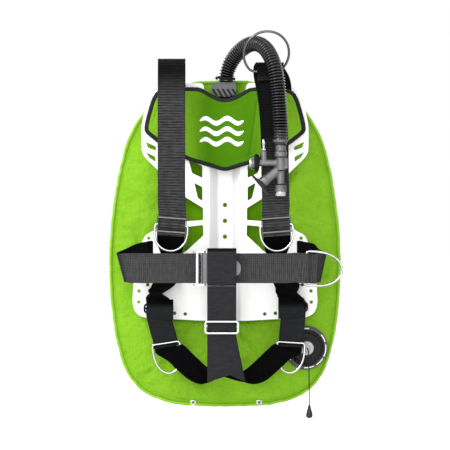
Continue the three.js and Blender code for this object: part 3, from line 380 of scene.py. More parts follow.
def powder_coat():
    """White powder coat: orange peel, faint handling marks, a little grey where it is rubbed, and painted
    shade on faces that turn side-on.
    """
    f = Finish("powder_coat", (0.86, 0.86, 0.85), 0.36, Coat_Weight=0.15)
    peel = f.noise(0.55, 3)
    rub = f.noise((0.03, 0.03, 0.008), 6, 0.65)
    f.tint(f.ramp(rub, 0.55, 0.80, 0.0, 0.30), (0.66, 0.66, 0.66))
    shade_normal_x, _, _ = f.axes(f.node("ShaderNodeNewGeometry").outputs["Normal"])
    # painted shade: grey on the side-on channel walls and bends
    f.tint(f.ramp(f.math("ABSOLUTE", shade_normal_x), 0.40, 0.80, 0.0, 0.45), (0.40, 0.40, 0.41))
    f.gloss(rub, 0.30, 0.46)
    f.raise_by(peel, 0.05)
    return f.done()


def steel(name="polished_steel", color=(0.50, 0.50, 0.51), rough=(0.10, 0.24), dark=0.03, sides=0.85):
    """Tumbled stainless: drawing lines, a cloudy polish, and painted shade on the sides, darker than the
    face.
    """
    f = Finish(name, color, 0.2, 1.0)
    cloud = f.noise(0.08, 5)
    lines = f.noise((1.8, 0.12, 1.8), 3)
    f.tint(f.ramp(cloud, 0.42, 0.75, 0.0, 0.45), tuple(0.6 * c for c in color))
    # painted shade: darker where the surface turns side-on
    f.tint(f.sides(0.80, 0.40, sides), (dark, dark, dark))
    f.gloss(lines, *rough)
    f.raise_by(lines, 0.015).raise_by(cloud, 0.05)
    return f.done()


def plastic(name, color, worn, rough=(0.35, 0.55), grain=0.05, shine=0.3, sides=0.0):
    """Moulded plastic: spark-eroded grain, paler rubbed places, and painted shade on the sides where asked.
    """
    f = Finish(name, color, 0.45, Specular_IOR_Level=shine)
    fine = f.noise(1.6, 2)
    cloud = f.noise(0.05, 5)
    f.tint(f.ramp(cloud, 0.45, 0.80, 0.0, 0.5), worn)
    if sides:
        # painted shade towards the sides
        f.tint(f.sides(0.98, 0.50, sides), tuple(0.12 * c for c in color))
    f.gloss(cloud, *rough)
    f.raise_by(fine, grain)
    return f.done()


def braid():
    """Pull cord: a braid of fine diagonal strands."""
    f = Finish("braided_cord", (0.006, 0.006, 0.007), 0.6, Specular_IOR_Level=0.15)
    x, _, z = f.axes(f.place(1.0))
    one = sine(f, f.math("ADD", z, x), 1.1)
    two = sine(f, f.math("SUBTRACT", z, x), 1.1)
    strands = f.math("MULTIPLY", one, two)
    f.tint(f.math("MULTIPLY", strands, 0.5), (0.03, 0.03, 0.034))
    f.raise_by(strands, 0.15)
    return f.done()


def striped_tab():
    """Woven label tab: grey ground with plain slanting black bars."""
    f = Finish("striped_tab", (0.100, 0.100, 0.102), 0.75, Specular_IOR_Level=0.15)
    x, _, z = f.axes(f.place(1.0))
    bar = sine(f, f.math("ADD", x, f.math("MULTIPLY", z, 0.6)), 9.0)
    low = f.ramp(z, 206.0, 207.0, 1.0, 0.0)
    f.tint(f.math("MULTIPLY", f.ramp(bar, 0.40, 0.50), low), (0.012, 0.012, 0.014))
    f.raise_by(sine(f, z, 0.9), 0.05)
    return f.done()


def film():
    """Clear welded bladder film, slightly wrinkled."""
    f = Finish("bladder_film", (0.55, 0.60, 0.62), 0.35, Transmission_Weight=0.2)
    f.raise_by(f.noise(0.12, 4), 0.4)
    return f.done()


BLACK, RUBBER = grey(0.003, 0.0035), grey(0.006, 0.0065)
FINISH = {
    "wing_fabric": cloth("wing_cloth", (0.176, 0.382, 0.016), (0.100, 0.255, 0.004), (0.265, 0.500, 0.040),
                         rumple=9.0).done(),
    "piping": cloth("piping_cloth", (0.22, 0.44, 0.03), (0.13, 0.30, 0.01), (0.33, 0.56, 0.08)).done(),
    # panel cloth: a deeper green than the wing cloth, partly painted shade where the plate covers it
    "panel_fabric": cloth("panel_cloth", (0.130, 0.330, 0.003), (0.08, 0.23, 0.001),
                          (0.19, 0.42, 0.008)).done(),
    "pad_fabric": pad_cloth(),
    "binding": tape(),
    # shade and rear below are painted shade: the shoulder straps' tops, the right strap behind the hose, the
    # belt's folded rear, the top of the crotch loop and the hip straps above their slides
    "webbing": web("rib_webbing", grey(0.003), grey(0.060, 0.062), 5.0, 0.22, shade=(188.0, 236.0, 0.95)),
    "hose_side_webbing": web("hose_side_webbing", grey(0.003), grey(0.062, 0.064), 5.0, 0.22,
                             shade=(62.0, 120.0, 0.93)),
    "belt": web("belt_webbing", grey(0.012, 0.013), grey(0.062, 0.064), 3.6, 0.45,
                rear=(-104.0, -90.0, 0.95)),
    "crotch_webbing": web("crotch_webbing", grey(0.008, 0.009), grey(0.032, 0.034), 2.6, 0.4,
                          shade=(-91.5, -88.0, 0.92)),
    "hip_webbing": web("hip_webbing", (0.005, 0.0055, 0.0065), (0.020, 0.021, 0.023), 2.2, 0.3,
                       shade=(-194.0, -185.0, 0.95)),
    # painted shade: a near-black copy of the webbing for the shoulder strap tails and crotch branches, which
    # lie in shade
    "shade_dark_webbing": web("webbing_in_shade", grey(0.0010, 0.0012), grey(0.0045, 0.005), 2.2, 0.3, 0.0),
    "tab_fabric": striped_tab(),
    "plate_paint": powder_coat(),
    # every steel below carries painted shade on its sides; dark and sides set how dark and how much
    "steel": steel(),
    "bright_steel": steel("wire_steel", grey(0.86), (0.16, 0.30), 0.10, 0.7),
    "keeper_steel": steel("keeper_steel", grey(0.13, 0.135), (0.36, 0.50), 0.01),
    "dark_steel": steel("dark_steel", grey(0.11, 0.115), (0.16, 0.30), 0.01),
    "buckle_steel": steel("buckle_steel", grey(0.66, 0.67), (0.14, 0.26), 0.08, 0.6),
    "flap_steel": steel("flap_steel", grey(0.125, 0.130), (0.35, 0.50)),
    "black_plastic": plastic("black_plastic", BLACK, grey(0.010, 0.011), shine=0.12),
    "cap_plastic": plastic("cap_plastic", BLACK, grey(0.008, 0.009), (0.10, 0.20), 0.03, 0.22),
    "dark_plastic": plastic("dark_plastic", grey(0.022, 0.023), grey(0.045), shine=0.15),
    "rim_plastic": plastic("rim_plastic", grey(0.045, 0.046), grey(0.08)),
    # grey_plastic, rubber and pad_rubber end with a share of painted shade on their sides
    "grey_plastic": plastic("grey_plastic", grey(0.095, 0.098), grey(0.18), (0.18, 0.30), 0.03, 0.5, 0.85),
    "hub_plastic": plastic("hub_plastic", grey(0.36), grey(0.46), (0.25, 0.4), 0.03),
    "rubber": plastic("hose_rubber", RUBBER, grey(0.016, 0.017), (0.16, 0.28), 0.05, 0.5, 0.8),
    "pad_rubber": plastic("pad_rubber", RUBBER, grey(0.022, 0.023), (0.30, 0.45), 0.06, 0.30, 0.9),
    "white_print": plastic("white_print", (0.82, 0.83, 0.80), (0.66, 0.68, 0.62), (0.5, 0.65), 0.06),
    "bladder_film": film(),
    "cord": braid(),
    "green_thread": plastic("green_thread", (0.15, 0.36, 0.012), (0.24, 0.48, 0.04), (0.6, 0.8)),
    "seam_shadow": plastic("seam_shadow", (0.115, 0.280, 0.007), (0.14, 0.31, 0.010), (0.7, 0.9), 0.1,
                           0.05),
    "black_thread": plastic("black_thread", grey(0.015, 0.016), grey(0.05), (0.6, 0.8)),
}


# ------------------------------------------------------------------ geometry
def unit(v):
    v = np.asarray(v, float)
    return v / np.linalg.norm(v)


def catmull(points, u, closed=False):
    """Point on the centripetal curve through the points, with u from 0 to 1."""
    n = len(points)
    spans = n if closed else n - 1
    k = min(int(u * spans), spans - 1)
    w = u * spans - k

    def at(i):
        if closed:
            return points[i % n]
        if i < 0:
            return 2 * points[0] - points[1]
        return points[i] if i < n else 2 * points[-1] - points[-2]

    p = [at(k - 1), at(k), at(k + 1), at(k + 2)]
    t = [0.0]
    for a, b in zip(p, p[1:]):
        t.append(t[-1] + max(np.linalg.norm(b - a), 1e-6) ** 0.5)
    s = t[1] + (t[2] - t[1]) * w

    def blend(a, b, i, j):
        return ((t[j] - s) * a + (s - t[i]) * b) / (t[j] - t[i])

    lines = [blend(p[i], p[i + 1], i, i + 1) for i in range(3)]
    bends = [blend(lines[i], lines[i + 1], i, i + 2) for i in range(2)]
    return blend(bends[0], bends[1], 1, 2)


def run_along(line, closed=False):
    """How far along a line each of its points is, with the way back to the start if closed."""
    line = np.vstack([line, line[:1]]) if closed else line
    return np.concatenate([[0], np.cumsum(np.linalg.norm(np.diff(line, axis=0), axis=1))])


def curve(points, count, closed=False):
    """Smooth line through given points, in even steps of length."""
    points = [np.asarray(p, float) for p in points]
    fine = 12 * len(points)
    dense = np.array([catmull(points, i / fine, closed) for i in range(fine + 1)])
    run = run_along(dense)
    steps = np.linspace(0, run[-1], count + (1 if closed else 0))[:count]
    return np.stack([np.interp(steps, run, dense[:, k]) for k in range(3)], axis=1)


def tangents(line, closed=False):
    """Unit direction of the line at each of its points."""
    if closed:
        return np.array([unit(b - a) for a, b in zip(np.roll(line, 1, 0), np.roll(line, -1, 0))])
    return np.array([unit(d) for d in np.gradient(line, axis=0)])


class Shape:
    """Points, faces and strap coordinates of one piece, gathered from several parts."""

    def __init__(self):
        self.points, self.faces, self.uvs = [], [], []

    def loft(self, rings, closed=False, caps=True, u=None, v=None):
        """Quads between closed sections. u is each section point's place across, v each ring's along."""
        rings = np.asarray(rings, float)
        count, size = rings.shape[:2]
        base = len(self.points)
        self.points.extend(rings.reshape(-1, 3))
        u = np.zeros(size) if u is None else u
        v = np.zeros(count + 1) if v is None else v
        for i in range(count if closed else count - 1):
            a, b = base + i * size, base + ((i + 1) % count) * size
            for j in range(size):
                k = (j + 1) % size
                self.faces.append((a + j, a + k, b + k, b + j))
                self.uvs.append(((u[j], v[i]), (u[k], v[i]), (u[k], v[i + 1]), (u[j], v[i + 1])))
        if caps and not closed:
            for start, place in ((base, v[0]), (base + (count - 1) * size, v[count - 1])):
                self.faces.append(tuple(range(start, start + size)))
                self.uvs.append(tuple((u[j], place) for j in range(size)))
        return self


def piece(name, shape, finish, body="harness", slot=None, replaces=(), sharp=40):
    """One mesh object in metres, riding on its body."""
    mesh = bpy.data.meshes.new(name)
    mesh.from_pydata([tuple(p * MM) for p in np.asarray(shape.points)], [], shape.faces)
    layer = mesh.uv_layers.new(name="strap")
    flat = np.array([c for face in shape.uvs for c in face], np.float32) * MM
    layer.data.foreach_set("uv", flat.ravel())
    face_outward(mesh)
    mesh.shade_smooth()
    mesh.set_sharp_from_angle(angle=math.radians(sharp))
    obj = bpy.data.objects.new(name, mesh)
    bpy.context.scene.collection.objects.link(obj)
    mesh.materials.append(FINISH[finish])
    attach(obj, body)
    slot = slot or finish
    if replaces:
        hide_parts(*replaces)
    return obj


def face_outward(mesh):
    """Turns every face of a closed mesh the same way round."""
    work = bmesh.new()
    work.from_mesh(mesh)
    bmesh.ops.recalc_face_normals(work, faces=work.faces)
    work.to_mesh(mesh)
    work.free()


def soften(obj, width=0.4, steps=2, angle=35):
    """Rounded edges, as moulded and tumbled parts have."""
    bevel = obj.modifiers.new("rounded_edges", "BEVEL")
    bevel.width = width * MM
    bevel.segments = steps
    bevel.limit_method = "ANGLE"
    bevel.angle_limit = math.radians(angle)
    bevel.harden_normals = True
    return obj


def turned(shape, profile, at, axis=(0, 0, 1), sides=48, closed=False, ripple=None):
    """Turned part: [radius, height] steps around an axis. ripple(turn, row) adds to the radius."""
    axis = unit(axis)
    side = unit(np.cross(axis, (0, 1, 0) if abs(axis[1]) < 0.9 else (1, 0, 0)))
    up = np.cross(axis, side)
    turns = np.arange(sides) * 2 * math.pi / sides
    rings = []
    for row, (r, h) in enumerate(profile):
        radii = np.full(sides, float(max(r, 0.05))) + (ripple(turns, row) if ripple else 0)
        rings.append([np.asarray(at) + axis * h + side * q * math.cos(t) + up * q * math.sin(t)
                      for q, t in zip(radii, turns)])
    return shape.loft(rings, closed=closed)


def sweep(shape, line, section, normal=None, closed=False):
    """Section of (out, side) points carried along a line, kept square to a given normal."""
    line = np.asarray(line, float)
    ahead = tangents(line, closed)
    fixed = unit(normal) if normal is not None else None
    u_axis = unit(np.cross(ahead[0], (0, 0, 1) if abs(ahead[0][2]) < 0.9 else (0, 1, 0)))
    rings = []
    for p, t in zip(line, ahead):
        u_axis = unit(np.cross(fixed, t)) if fixed is not None else unit(u_axis - t * (u_axis @ t))
        v_axis = np.cross(t, u_axis)
        rings.append([p + u_axis * a + v_axis * b for a, b in section])
    return shape.loft(rings, closed=closed, u=run_along(np.array(section, float)), v=run_along(line, True))


def ray(axis, turn):
    """Direction square to an axis, so many radians round it."""
    side = unit(np.cross(axis, (0, 1, 0)))
    return side * math.cos(turn) + np.cross(axis, side) * math.sin(turn)


def coil(start, end, radius, step, count):
    """Wire spring round the line between two points, with a step of so many radians."""
    axis = unit(end - start)
    line = [start + (end - start) * i / (count - 1) + ray(axis, i * step) * radius for i in range(count)]
    return sweep(Shape(), line, circle(0.7, 8))


def lifted(outline, y, dx=0, dz=0):
    """Outline in the XZ plane set at one Y value."""
    return [(x + dx, y, z + dz) for x, z in outline]


def circle(radius, sides=16):
    return [(radius * math.cos(i * 2 * math.pi / sides), radius * math.sin(i * 2 * math.pi / sides))
            for i in range(sides)]


def slab(outline, y0, y1):
    """Outline in the XZ plane, made solid between two Y values."""
    return Shape().loft([lifted(outline, y) for y in (y0, y1)])


def prism(section, z0, z1):
    """Section in the XY plane, drawn out between two heights."""
    return Shape().loft([[(x, y, z) for x, y in section] for z in (z0, z1)])


def rounded(outline, radius, steps=5):
    """Outline with its corners eased by short curves."""
    result = []
    n = len(outline)
    for i in range(n):
        c, a, b = (np.asarray(outline[k % n], float) for k in (i, i - 1, i + 1))
        start, end = (c + (q - c) * min(radius / max(np.linalg.norm(q - c), 1e-6), 0.45) for q in (a, b))
        for s in np.linspace(0, 1, steps):
            result.append(tuple((1 - s) ** 2 * start + 2 * s * (1 - s) * c + s * s * end))
    return result


def mirrored(outline):
    return [(-x, z) for x, z in reversed(outline)]


def symmetric(half):
    return list(half) + mirrored([p for p in half if p[0] > 0])


def rectangle(x0, x1, z0, z1):
    return [(x0, z0), (x1, z0), (x1, z1), (x0, z1)]


def disc(x, z, radius, sides=24):
    return [(x + a, z + b) for a, b in circle(radius, sides)]


def carved(shape, tools, keep="DIFFERENCE"):
    """The shape with tools cut out of it, or held inside one, as a new shape."""
    objects = []
    for i, s in enumerate([shape, *tools]):
        mesh = bpy.data.meshes.new(f"carve_{i}")
        mesh.from_pydata([tuple(p) for p in np.asarray(s.points)], [], s.faces)
        face_outward(mesh)
        objects.append(bpy.data.objects.new(f"carve_{i}", mesh))
        bpy.context.scene.collection.objects.link(objects[-1])
    for tool in objects[1:]:
        step = objects[0].modifiers.new("carve", "BOOLEAN")
        step.operation = keep
        step.object = tool
        step.solver = "EXACT"
    bpy.context.view_layer.update()
    result = objects[0].evaluated_get(bpy.context.evaluated_depsgraph_get()).to_mesh()
    out = Shape()
    out.points = [np.array(v.co) for v in result.vertices]
    out.faces = [tuple(p.vertices) for p in result.polygons]
    out.uvs = [tuple((out.points[i][0], out.points[i][2]) for i in face) for face in out.faces]
    for o in objects:
        bpy.data.objects.remove(o)
    return out


def stitches(shape, line, normal, pitch=4.2, length=2.9, radius=0.42, closed=False, lift=0.25):
    """A row of thread stitches lying on a surface."""
    line = np.asarray(line, float)
    ring = np.vstack([line, line[:1]]) if closed else line
    run = run_along(ring)
    normal = unit(normal)
    for start in np.arange(0, run[-1] - length, pitch):
        a, b = (np.array([np.interp(s, run, ring[:, k]) for k in range(3)]) for s in (start, start + length))
        side = np.cross(normal, unit(b - a))
        rings = []
        for s, r, sink in ((0, 0.35, -0.5), (0.25, 0.95, 0), (0.75, 0.95, 0), (1, 0.35, -0.5)):
            at = a + (b - a) * s + normal * (lift + sink * radius)
            rings.append([at + side * x * r * radius + normal * y * r * radius for x, y in circle(1, 5)])
        shape.loft(rings)
    return shape


# ------------------------------------------------------------------ cords
def corrugated_hose():
    """Blow-moulded hose: rounded ribs with narrow valleys, plain for a short way at each end."""
    pitch, per_rib, valley, end_valley = 5.2, 8, 3.6, 1.6
    ribs = int(HOSE_LENGTH / MM / pitch)
    line = curve([np.array(p) / MM for p in HOSE_ROUTE], ribs * per_rib + 1)
    ahead = tangents(line)
    u_axis = unit(np.cross(ahead[0], (0, 1, 0)))
    rings = []
    for i, (p, t) in enumerate(zip(line, ahead)):
        u_axis = unit(u_axis - t * (u_axis @ t))
        v_axis = np.cross(t, u_axis)
        crest = 0.5 - 0.5 * math.cos(2 * math.pi * i / per_rib)
        r = HOSE_R - valley * (1 - crest ** 0.6)
        if i < per_rib * 2 or i > len(line) - per_rib * 2:
            r = min(r, HOSE_R - end_valley)
        rings.append([p + u_axis * a * r + v_axis * b * r for a, b in circle(1, 36)])
    path = [tuple(p * MM) for p in line[::per_rib]] + [tuple(line[-1] * MM)]
    hose = piece("hose", Shape().loft(rings), "rubber", replaces=["corrugated_hose"], sharp=80)
    return hose, path


def pull_cord():
    """Braided cord from the valve's hub to its knob."""
    line = curve([np.array(p) / MM for p in CORD_ROUTE], 90)
    cord = piece("dump_cord", sweep(Shape(), line, circle(1.0, 10)), "cord", "dump_plunger",
                 slot="webbing", replaces=["pull_cord"])
    return cord, [tuple(p * MM) for p in line]


# ------------------------------------------------------------------ wing
def wing_outline():
    """Outer seam, gathered in a little by its stitching."""
    half = [(x, 0, z) for x, z in WING_EDGE]
    other = [(-x, 0, z) for x, _, z in half[1:-1]][::-1]
    line = curve(half + other, WING["around"], closed=True)

    def gathered(p):
        return 0.4 + 2.0 * abs(swell(p[0], 0, p[2], 24, 5.5)) + 0.9 * abs(swell(p[0], 0, p[2], 9, 1.5))
    return np.array([p - unit(p) * gathered(p) for p in line])


def smoothstep(x, a, b):
    """Eases from 0 at a to 1 at b."""
    t = min(max((x - a) / (b - a), 0), 1)
    return t * t * (3 - 2 * t)


def spine_near(outer):
    """Nearest point of the upright line in the middle of the wing."""
    return np.array([0, 0, min(max(outer[2], WING["spine_bottom"]), WING["spine_top"])])


def hole_radius(outward, front):
    """The front cover closes over the foot of the flat middle, where the plate ends above it."""
    return WING["hole_r"] - (38 * smoothstep(-outward[2], 0.15, 0.75) if front else 0)


CREASES = [  # (from, to, depth, half width) of the deeper folds in the cover
    ((24, -240), (64, -278), 3.2, 3.5), ((18, -262), (52, -288), 2.6, 3.5),
    ((46, -318), (96, -338), 2.8, 4.5), ((92, -336), (82, -362), 2.4, 4),
    ((-120, -262), (-96, -330), 2.2, 6), ((-186, -150), (-150, -178), 2.4, 5),
    ((-200, -60), (-168, -72), 2.2, 5), ((-196, -215), (-160, -205), 2.2, 5),
    ((186, 60), (170, 20), 2.4, 5), ((200, -120), (172, -128), 2.0, 5),
    ((-184, 70), (-172, 28), 2.2, 5), ((-60, -300), (-30, -352), 2.2, 6),
    ((120, -345), (132, -318), 2.2, 4.5), ((-150, -330), (-128, -300), 2.4, 5),
    ((195, -200), (176, -196), 2.2, 4.5), ((-160, -40), (-150, -110), 1.6, 8),
    ((150, -20), (158, -90), 1.6, 8),
]


def seam_folds(perimeter):
    """Short puckers at uneven steps along a seam: place, half width, depth, reach and slant."""
    folds, s = [], 0.0
    while s < perimeter:
        folds.append((s, random.uniform(2.6, 5.5), random.uniform(1.2, 3.6), random.uniform(10, 50),
                      random.uniform(-0.5, 0.5)))
        s += random.uniform(9, 22)
    return folds


def pucker(folds, s, d):
    """How far the cover is drawn in near the seam: s along it and d away from it."""
    total = 0.0
    for place, half, depth, reach, slant in folds:
        off = s + slant * d - place
        if abs(off) < 3 * half and d < 2.2 * reach:
            total += depth * math.exp(-(off / half) ** 2) * math.exp(-(d / reach) ** 2)
    return total


def crease(x, z):
    """How deep the nearby folds draw the cover in."""
    total = 0.0
    p = np.array([x, z])
    for a, b, depth, half in CREASES:
        a, b = np.array(a, float), np.array(b, float)
        t = min(max((p - a) @ (b - a) / ((b - a) @ (b - a)), 0), 1)
        d = np.linalg.norm(p - a - (b - a) * t)
        if d < 3 * half:
            along = math.sin(math.pi * min(max(t, 0.08), 0.92))
            total += 2.0 * depth * math.exp(-(d / half) ** 2) * along
    return total


def swell(x, y, z, size, seed):
    """Slow bumps of about the given size, between -1 and 1."""
    return noise.noise(Vector((x / size + seed, y / size, z / size)))


def cover_grid(front):
    """Rows of points over one side of the air chamber, from the inner seam to the outer edge."""
    outline = wing_outline()
    run = run_along(outline, True)
    folds = seam_folds(run[-1])
    inner_folds = seam_folds(run[-1])
    rows = []
    for i, outer in enumerate(outline):
        spine = spine_near(outer)
        outward = unit(outer - spine)
        inner = spine + outward * hole_radius(outward, front)
        length = np.linalg.norm(outer - inner)
        air = 1 - WING["flange"] / length
        row = []
        for j in range(WING["across"] + 1):
            s = (1 - math.cos(math.pi * j / WING["across"])) / 2
            at = inner + (outer - inner) * s * air
            full = math.sin(math.pi * s) ** 0.7 if 0 < s < 1 else 0
            row.append(cover_point(at, full, run[i], (1 - s) * length * air, s * length * air,
                                   folds, inner_folds, front))
        row.append(np.array([outer[0], flange_y(front), outer[2]]))
        rows.append(row)
    return rows


def flange_y(front):
    """Outer face of a cover where the two are welded together."""
    return WING["seam_y"] + (-1 if front else 1) * (0.15 + WING["shell"])


def flat_behind_plate(x, z, least):
    """Share of its height that the front keeps: the plate presses the upper middle flat."""
    return least + (1 - least) * smoothstep(abs(x), 32, 75) if z > 0 else 1


def cover_point(at, full, run, from_outer, from_inner, folds, inner_folds, front):
    """Point of the filled cover: its height less the folds, creases and swells there."""
    x, _, z = at
    reach = WING["front"] if front else WING["back"]
    if front:
        full = full * flat_behind_plate(x, z, 0.14)
    drawn = pucker(folds, run, from_outer) + 0.7 * pucker(inner_folds, run, from_inner)
    drawn += crease(x, z) if front else 0.8 * crease(-x, z + 30)
    drawn += 4.6 * abs(swell(x, 0, z, 46, 3.1)) + 3.0 * abs(swell(x, 0, z, 22, 8.4))
    drawn = min(drawn * min(full * 2.2, 1), 0.55 * full * reach) * (1 if front else 1.35)
    height = full * reach - drawn
    return np.array([x, flange_y(front) + (-height if front else height), z])


def seat_dent(p):
    """The cover lies flat under the dump valve and behind the hose elbow."""
    off = p - VALVE_AT
    h = off @ VALVE_OUT
    r = np.linalg.norm(off - VALVE_OUT * h)
    if r < VALVE_SEAT["reach_r"]:
        limit = -VALVE_SEAT["depth"] + max(0, r - VALVE_SEAT["flat_r"]) * VALVE_SEAT["slope"]
        if h > limit:
            p = p - VALVE_OUT * (h - limit)
    beside = abs(p[0] - ELBOW_X)
    if beside < ELBOW_DENT["reach"] and p[2] > ELBOW_DENT["from_z"]:
        rise = smoothstep(beside, ELBOW_DENT["flat"], ELBOW_DENT["reach"])
        p = np.array([p[0], max(p[1], ELBOW_DENT["y"] - ELBOW_DENT["drop"] * rise), p[2]])
    return p


def cover(name, front, node):
    """One half of the wing's outer shell, with its two grommet holes."""
    inward = WING["shell"] * (1 if front else -1)
    rings = []
    for row in cover_grid(front):
        outside = [seat_dent(p) for p in row] if front else list(row)
        inside = [p + (0, inward, 0) for p in outside][::-1]
        rings.append(outside + inside)
    tools = [turned(Shape(), [[3.6, -14], [3.6, 14]], (x, -5, z), (0, 1, 0), 24) for x, z in GROMMETS]
    return piece(name, carved(Shape().loft(rings, closed=True), tools), "wing_fabric", replaces=[node],
                 sharp=60)


def bladder():
    """Welded film ring, a little smaller than the covers around it."""
    rings = []
    for outer in wing_outline()[::4]:
        spine = spine_near(outer)
        inner = spine + unit(outer - spine) * (WING["hole_r"] + 4)
        outer = outer - unit(outer - spine) * 14
        ring = []
        for side, reach in ((-1, 0.35 * WING["front"]), (1, 0.72 * WING["back"])):
            for j in range(1, 10):
                s = j / 10 if side < 0 else 1 - j / 10
                at = inner + (outer - inner) * s
                full = math.sin(math.pi * s) ** 0.8
                if side < 0:
                    full *= flat_behind_plate(at[0], at[2], 0.1)
                ring.append(np.array([at[0], WING["seam_y"] + side * (0.2 + reach * full), at[2]]))
        rings.append(ring)
    shape = Shape().loft(rings, closed=True)
    return piece("air_bladder", shape, "bladder_film", replaces=["inner_bladder"], sharp=80)


def racetrack(radius, steps):
    """Ring of (x, z) points round the wing's flat middle."""
    ends = ((WING["spine_top"], 0), (WING["spine_bottom"], math.pi))
    turns = [(z, start + math.pi * i / steps) for z, start in ends for i in range(steps + 1)]
    return [(radius * math.cos(t), z + radius * math.sin(t)) for z, t in turns]


def wing_trim():
    """Piping along both seams, a dark green line of painted shade for the groove inside the outer one, and
    its thread line on both faces; the inner piping takes the same painted-shade green.
    """
    outline = wing_outline()
    centre = np.array([0, 0, -80])

    def inset(distance, y):
        row = np.array([p - unit(p - centre) * distance for p in outline])
        row[:, 1] = y
        return row

    for name, line, radius, sides, finish in (
        ("edge_piping", inset(1.2, WING["seam_y"]), 2.7, 12, "piping"),
        ("inner_piping", curve(lifted(racetrack(71.3, 16), WING["seam_y"]), 300, closed=True), 1.9, 10,
         "seam_shadow"),
        ("groove_shade_line", inset(4.5, flange_y(True)), 0.8, 8, "seam_shadow"),
    ):
        trim = sweep(Shape(), line, circle(radius, sides), (0, 1, 0), closed=True)
        piece(name, trim, finish, slot="wing_fabric", sharp=80)
    thread = Shape()
    for y, normal in ((flange_y(True), (0, -1, 0)), (flange_y(False), (0, 1, 0))):
        stitches(thread, inset(7.2, y), normal, closed=True)
    piece("edge_stitching", thread, "green_thread", slot="wing_fabric")


def around(x, z, half_x, half_z, radius):
    """Rounded rectangle round a point."""
    return rounded(rectangle(x - half_x, x + half_x, z - half_z, z + half_z), radius)


def centre_panel():
    """Flat fabric middle with taped band slots and a quilted stitch line."""
    ring = racetrack(WING["hole_r"] - 1.5, 32)
    tools = [slab(around(x, z, 4, 28, 3), -9, 0) for x, z in CAM_SLOTS]
    piece("middle_panel", carved(slab(ring, -6.2, -3.8), tools), "panel_fabric", replaces=["centre_panel"])
    frames, thread = Shape(), Shape()
    tape_section = [(-2.2, -0.5), (2.2, -0.5), (2.2, 0.4), (1.6, 0.7), (-1.6, 0.7), (-2.2, 0.4)]
    for x, z in CAM_SLOTS:
        path = lifted(around(x, z, 6.5, 31, 5), -3.6)
        sweep(frames, path, tape_section, (0, 1, 0), closed=True)
        stitches(thread, path, (0, 1, 0), pitch=3.6, length=2.5, closed=True, lift=0.8)
    stitches(thread, [(0.94 * x, -3.8, z * 0.985) for x, z in ring], (0, 1, 0), closed=True)
    piece("slot_binding", frames, "binding")
    piece("panel_stitching", thread, "black_thread", slot="webbing")


def tank_pad():
    """Rubber pad that the cylinder lies against: raised chevrons inside a moulded border."""
    half, bottom, top, base, crown = 28, -165, 128, -1.7, -0.2
    pad = slab(rounded(rectangle(-half, half, bottom, top), 7, 6), -3.3, base)
    edge = lifted(rounded(rectangle(-half + 2, half - 2, bottom + 2, top - 2), 6, 6), base)
    sweep(pad, edge, [(-1.7, -0.3), (1.7, -0.3), (1.1, 1.4), (-1.1, 1.4)], (0, 1, 0), closed=True)
    for z in np.arange(bottom + 8, top - 16, 8.2):
        for side in (-1, 1):
            rings = []
            for y, tall, inset in ((base - 0.2, 2.2, 0), (crown, 1.2, 0.8)):
                near, far = 1.2 + inset, 22 - inset
                corners = ((near, -tall), (far, 7 - tall), (far, 7 + tall), (near, tall))
                rings.append([(side * x, y, z + up) for x, up in corners])
            pad.loft(rings)
    made = piece("tank_rest", pad, "pad_rubber", slot="rubber", replaces=["tank_pad"], sharp=50)
    return soften(made, 0.3, 2, 40)


def bladder_zip():
    """Coil zip on its tape, with a moving slider and pull."""
    middle = 61
    piece("zip_tape", slab(rounded(rectangle(57.6, 64.4, -150, 20), 1.5), -3.5, -2.9), "binding",
          slot="black_plastic")
    teeth = Shape()
    for i in range(112):
        side = 1 if i % 2 else -1
        tooth = [(side * x, z) for x, z in rectangle(-0.6, 1.7, -0.55, 0.55)]
        teeth.loft([lifted(tooth, y, middle, -149 + i * 1.5) for y in (-2.9, -1.95)])
    piece("zip_teeth", teeth, "black_plastic", replaces=["bladder_zip"])
    slider = Shape()
    runner = ((-3.8, 10.2), (3.8, 10.2), (2.6, 19.6), (-2.6, 19.6))
    slider.loft([lifted(runner, y, middle) for y in (-1.5, 0.1)])
    pull = rounded(rectangle(-1.6, 1.6, 10.6, 19.4), 1.2)
    slider.loft([lifted(pull, y, middle) for y in (0.1, 0.38)])
    soften(piece("zip_slider_pull", slider, "steel", "zip_pull", replaces=["zip_slider"]), 0.25)


def grommets():
    """Rolled metal rings in the bottom seam, lined with rubber."""
    front, back = flange_y(True) - 0.4, flange_y(False) + 0.4
    for name, (x, z) in zip(("left_grommet", "right_grommet"), GROMMETS):
        profile = [
            [2.7, front - 0.4], [3.3, front - 0.9], [4.6, front - 0.9], [5.4, front - 0.3], [5.4, front],
            [3.4, front], [3.4, back], [5.4, back], [5.4, back + 0.3], [4.6, back + 0.9],
            [3.3, back + 0.9], [2.7, back + 0.4],
        ]
        shape = turned(Shape(), profile, (x, 0, z), (0, 1, 0), 36, closed=True)
        piece(f"{name}_ring", shape, "steel", replaces=[name])
        lining = [[0.5, front], [2.9, front], [2.9, back], [0.5, back]]
        piece(f"{name}_lining", turned(Shape(), lining, (x, 0, z), (0, 1, 0), 24, closed=True), "rubber")


# ------------------------------------------------------------------ dump valve
def fluted(depth, count, rows):
    """Ripple of so many flutes on some rows of a turned part."""
    return lambda turns, row: depth * np.cos(turns * count) if row in rows else 0 * turns


def valve_part(profile, sides, closed=True, ripple=None):
    return turned(Shape(), profile, VALVE_AT, VALVE_OUT, sides, closed=closed, ripple=ripple)


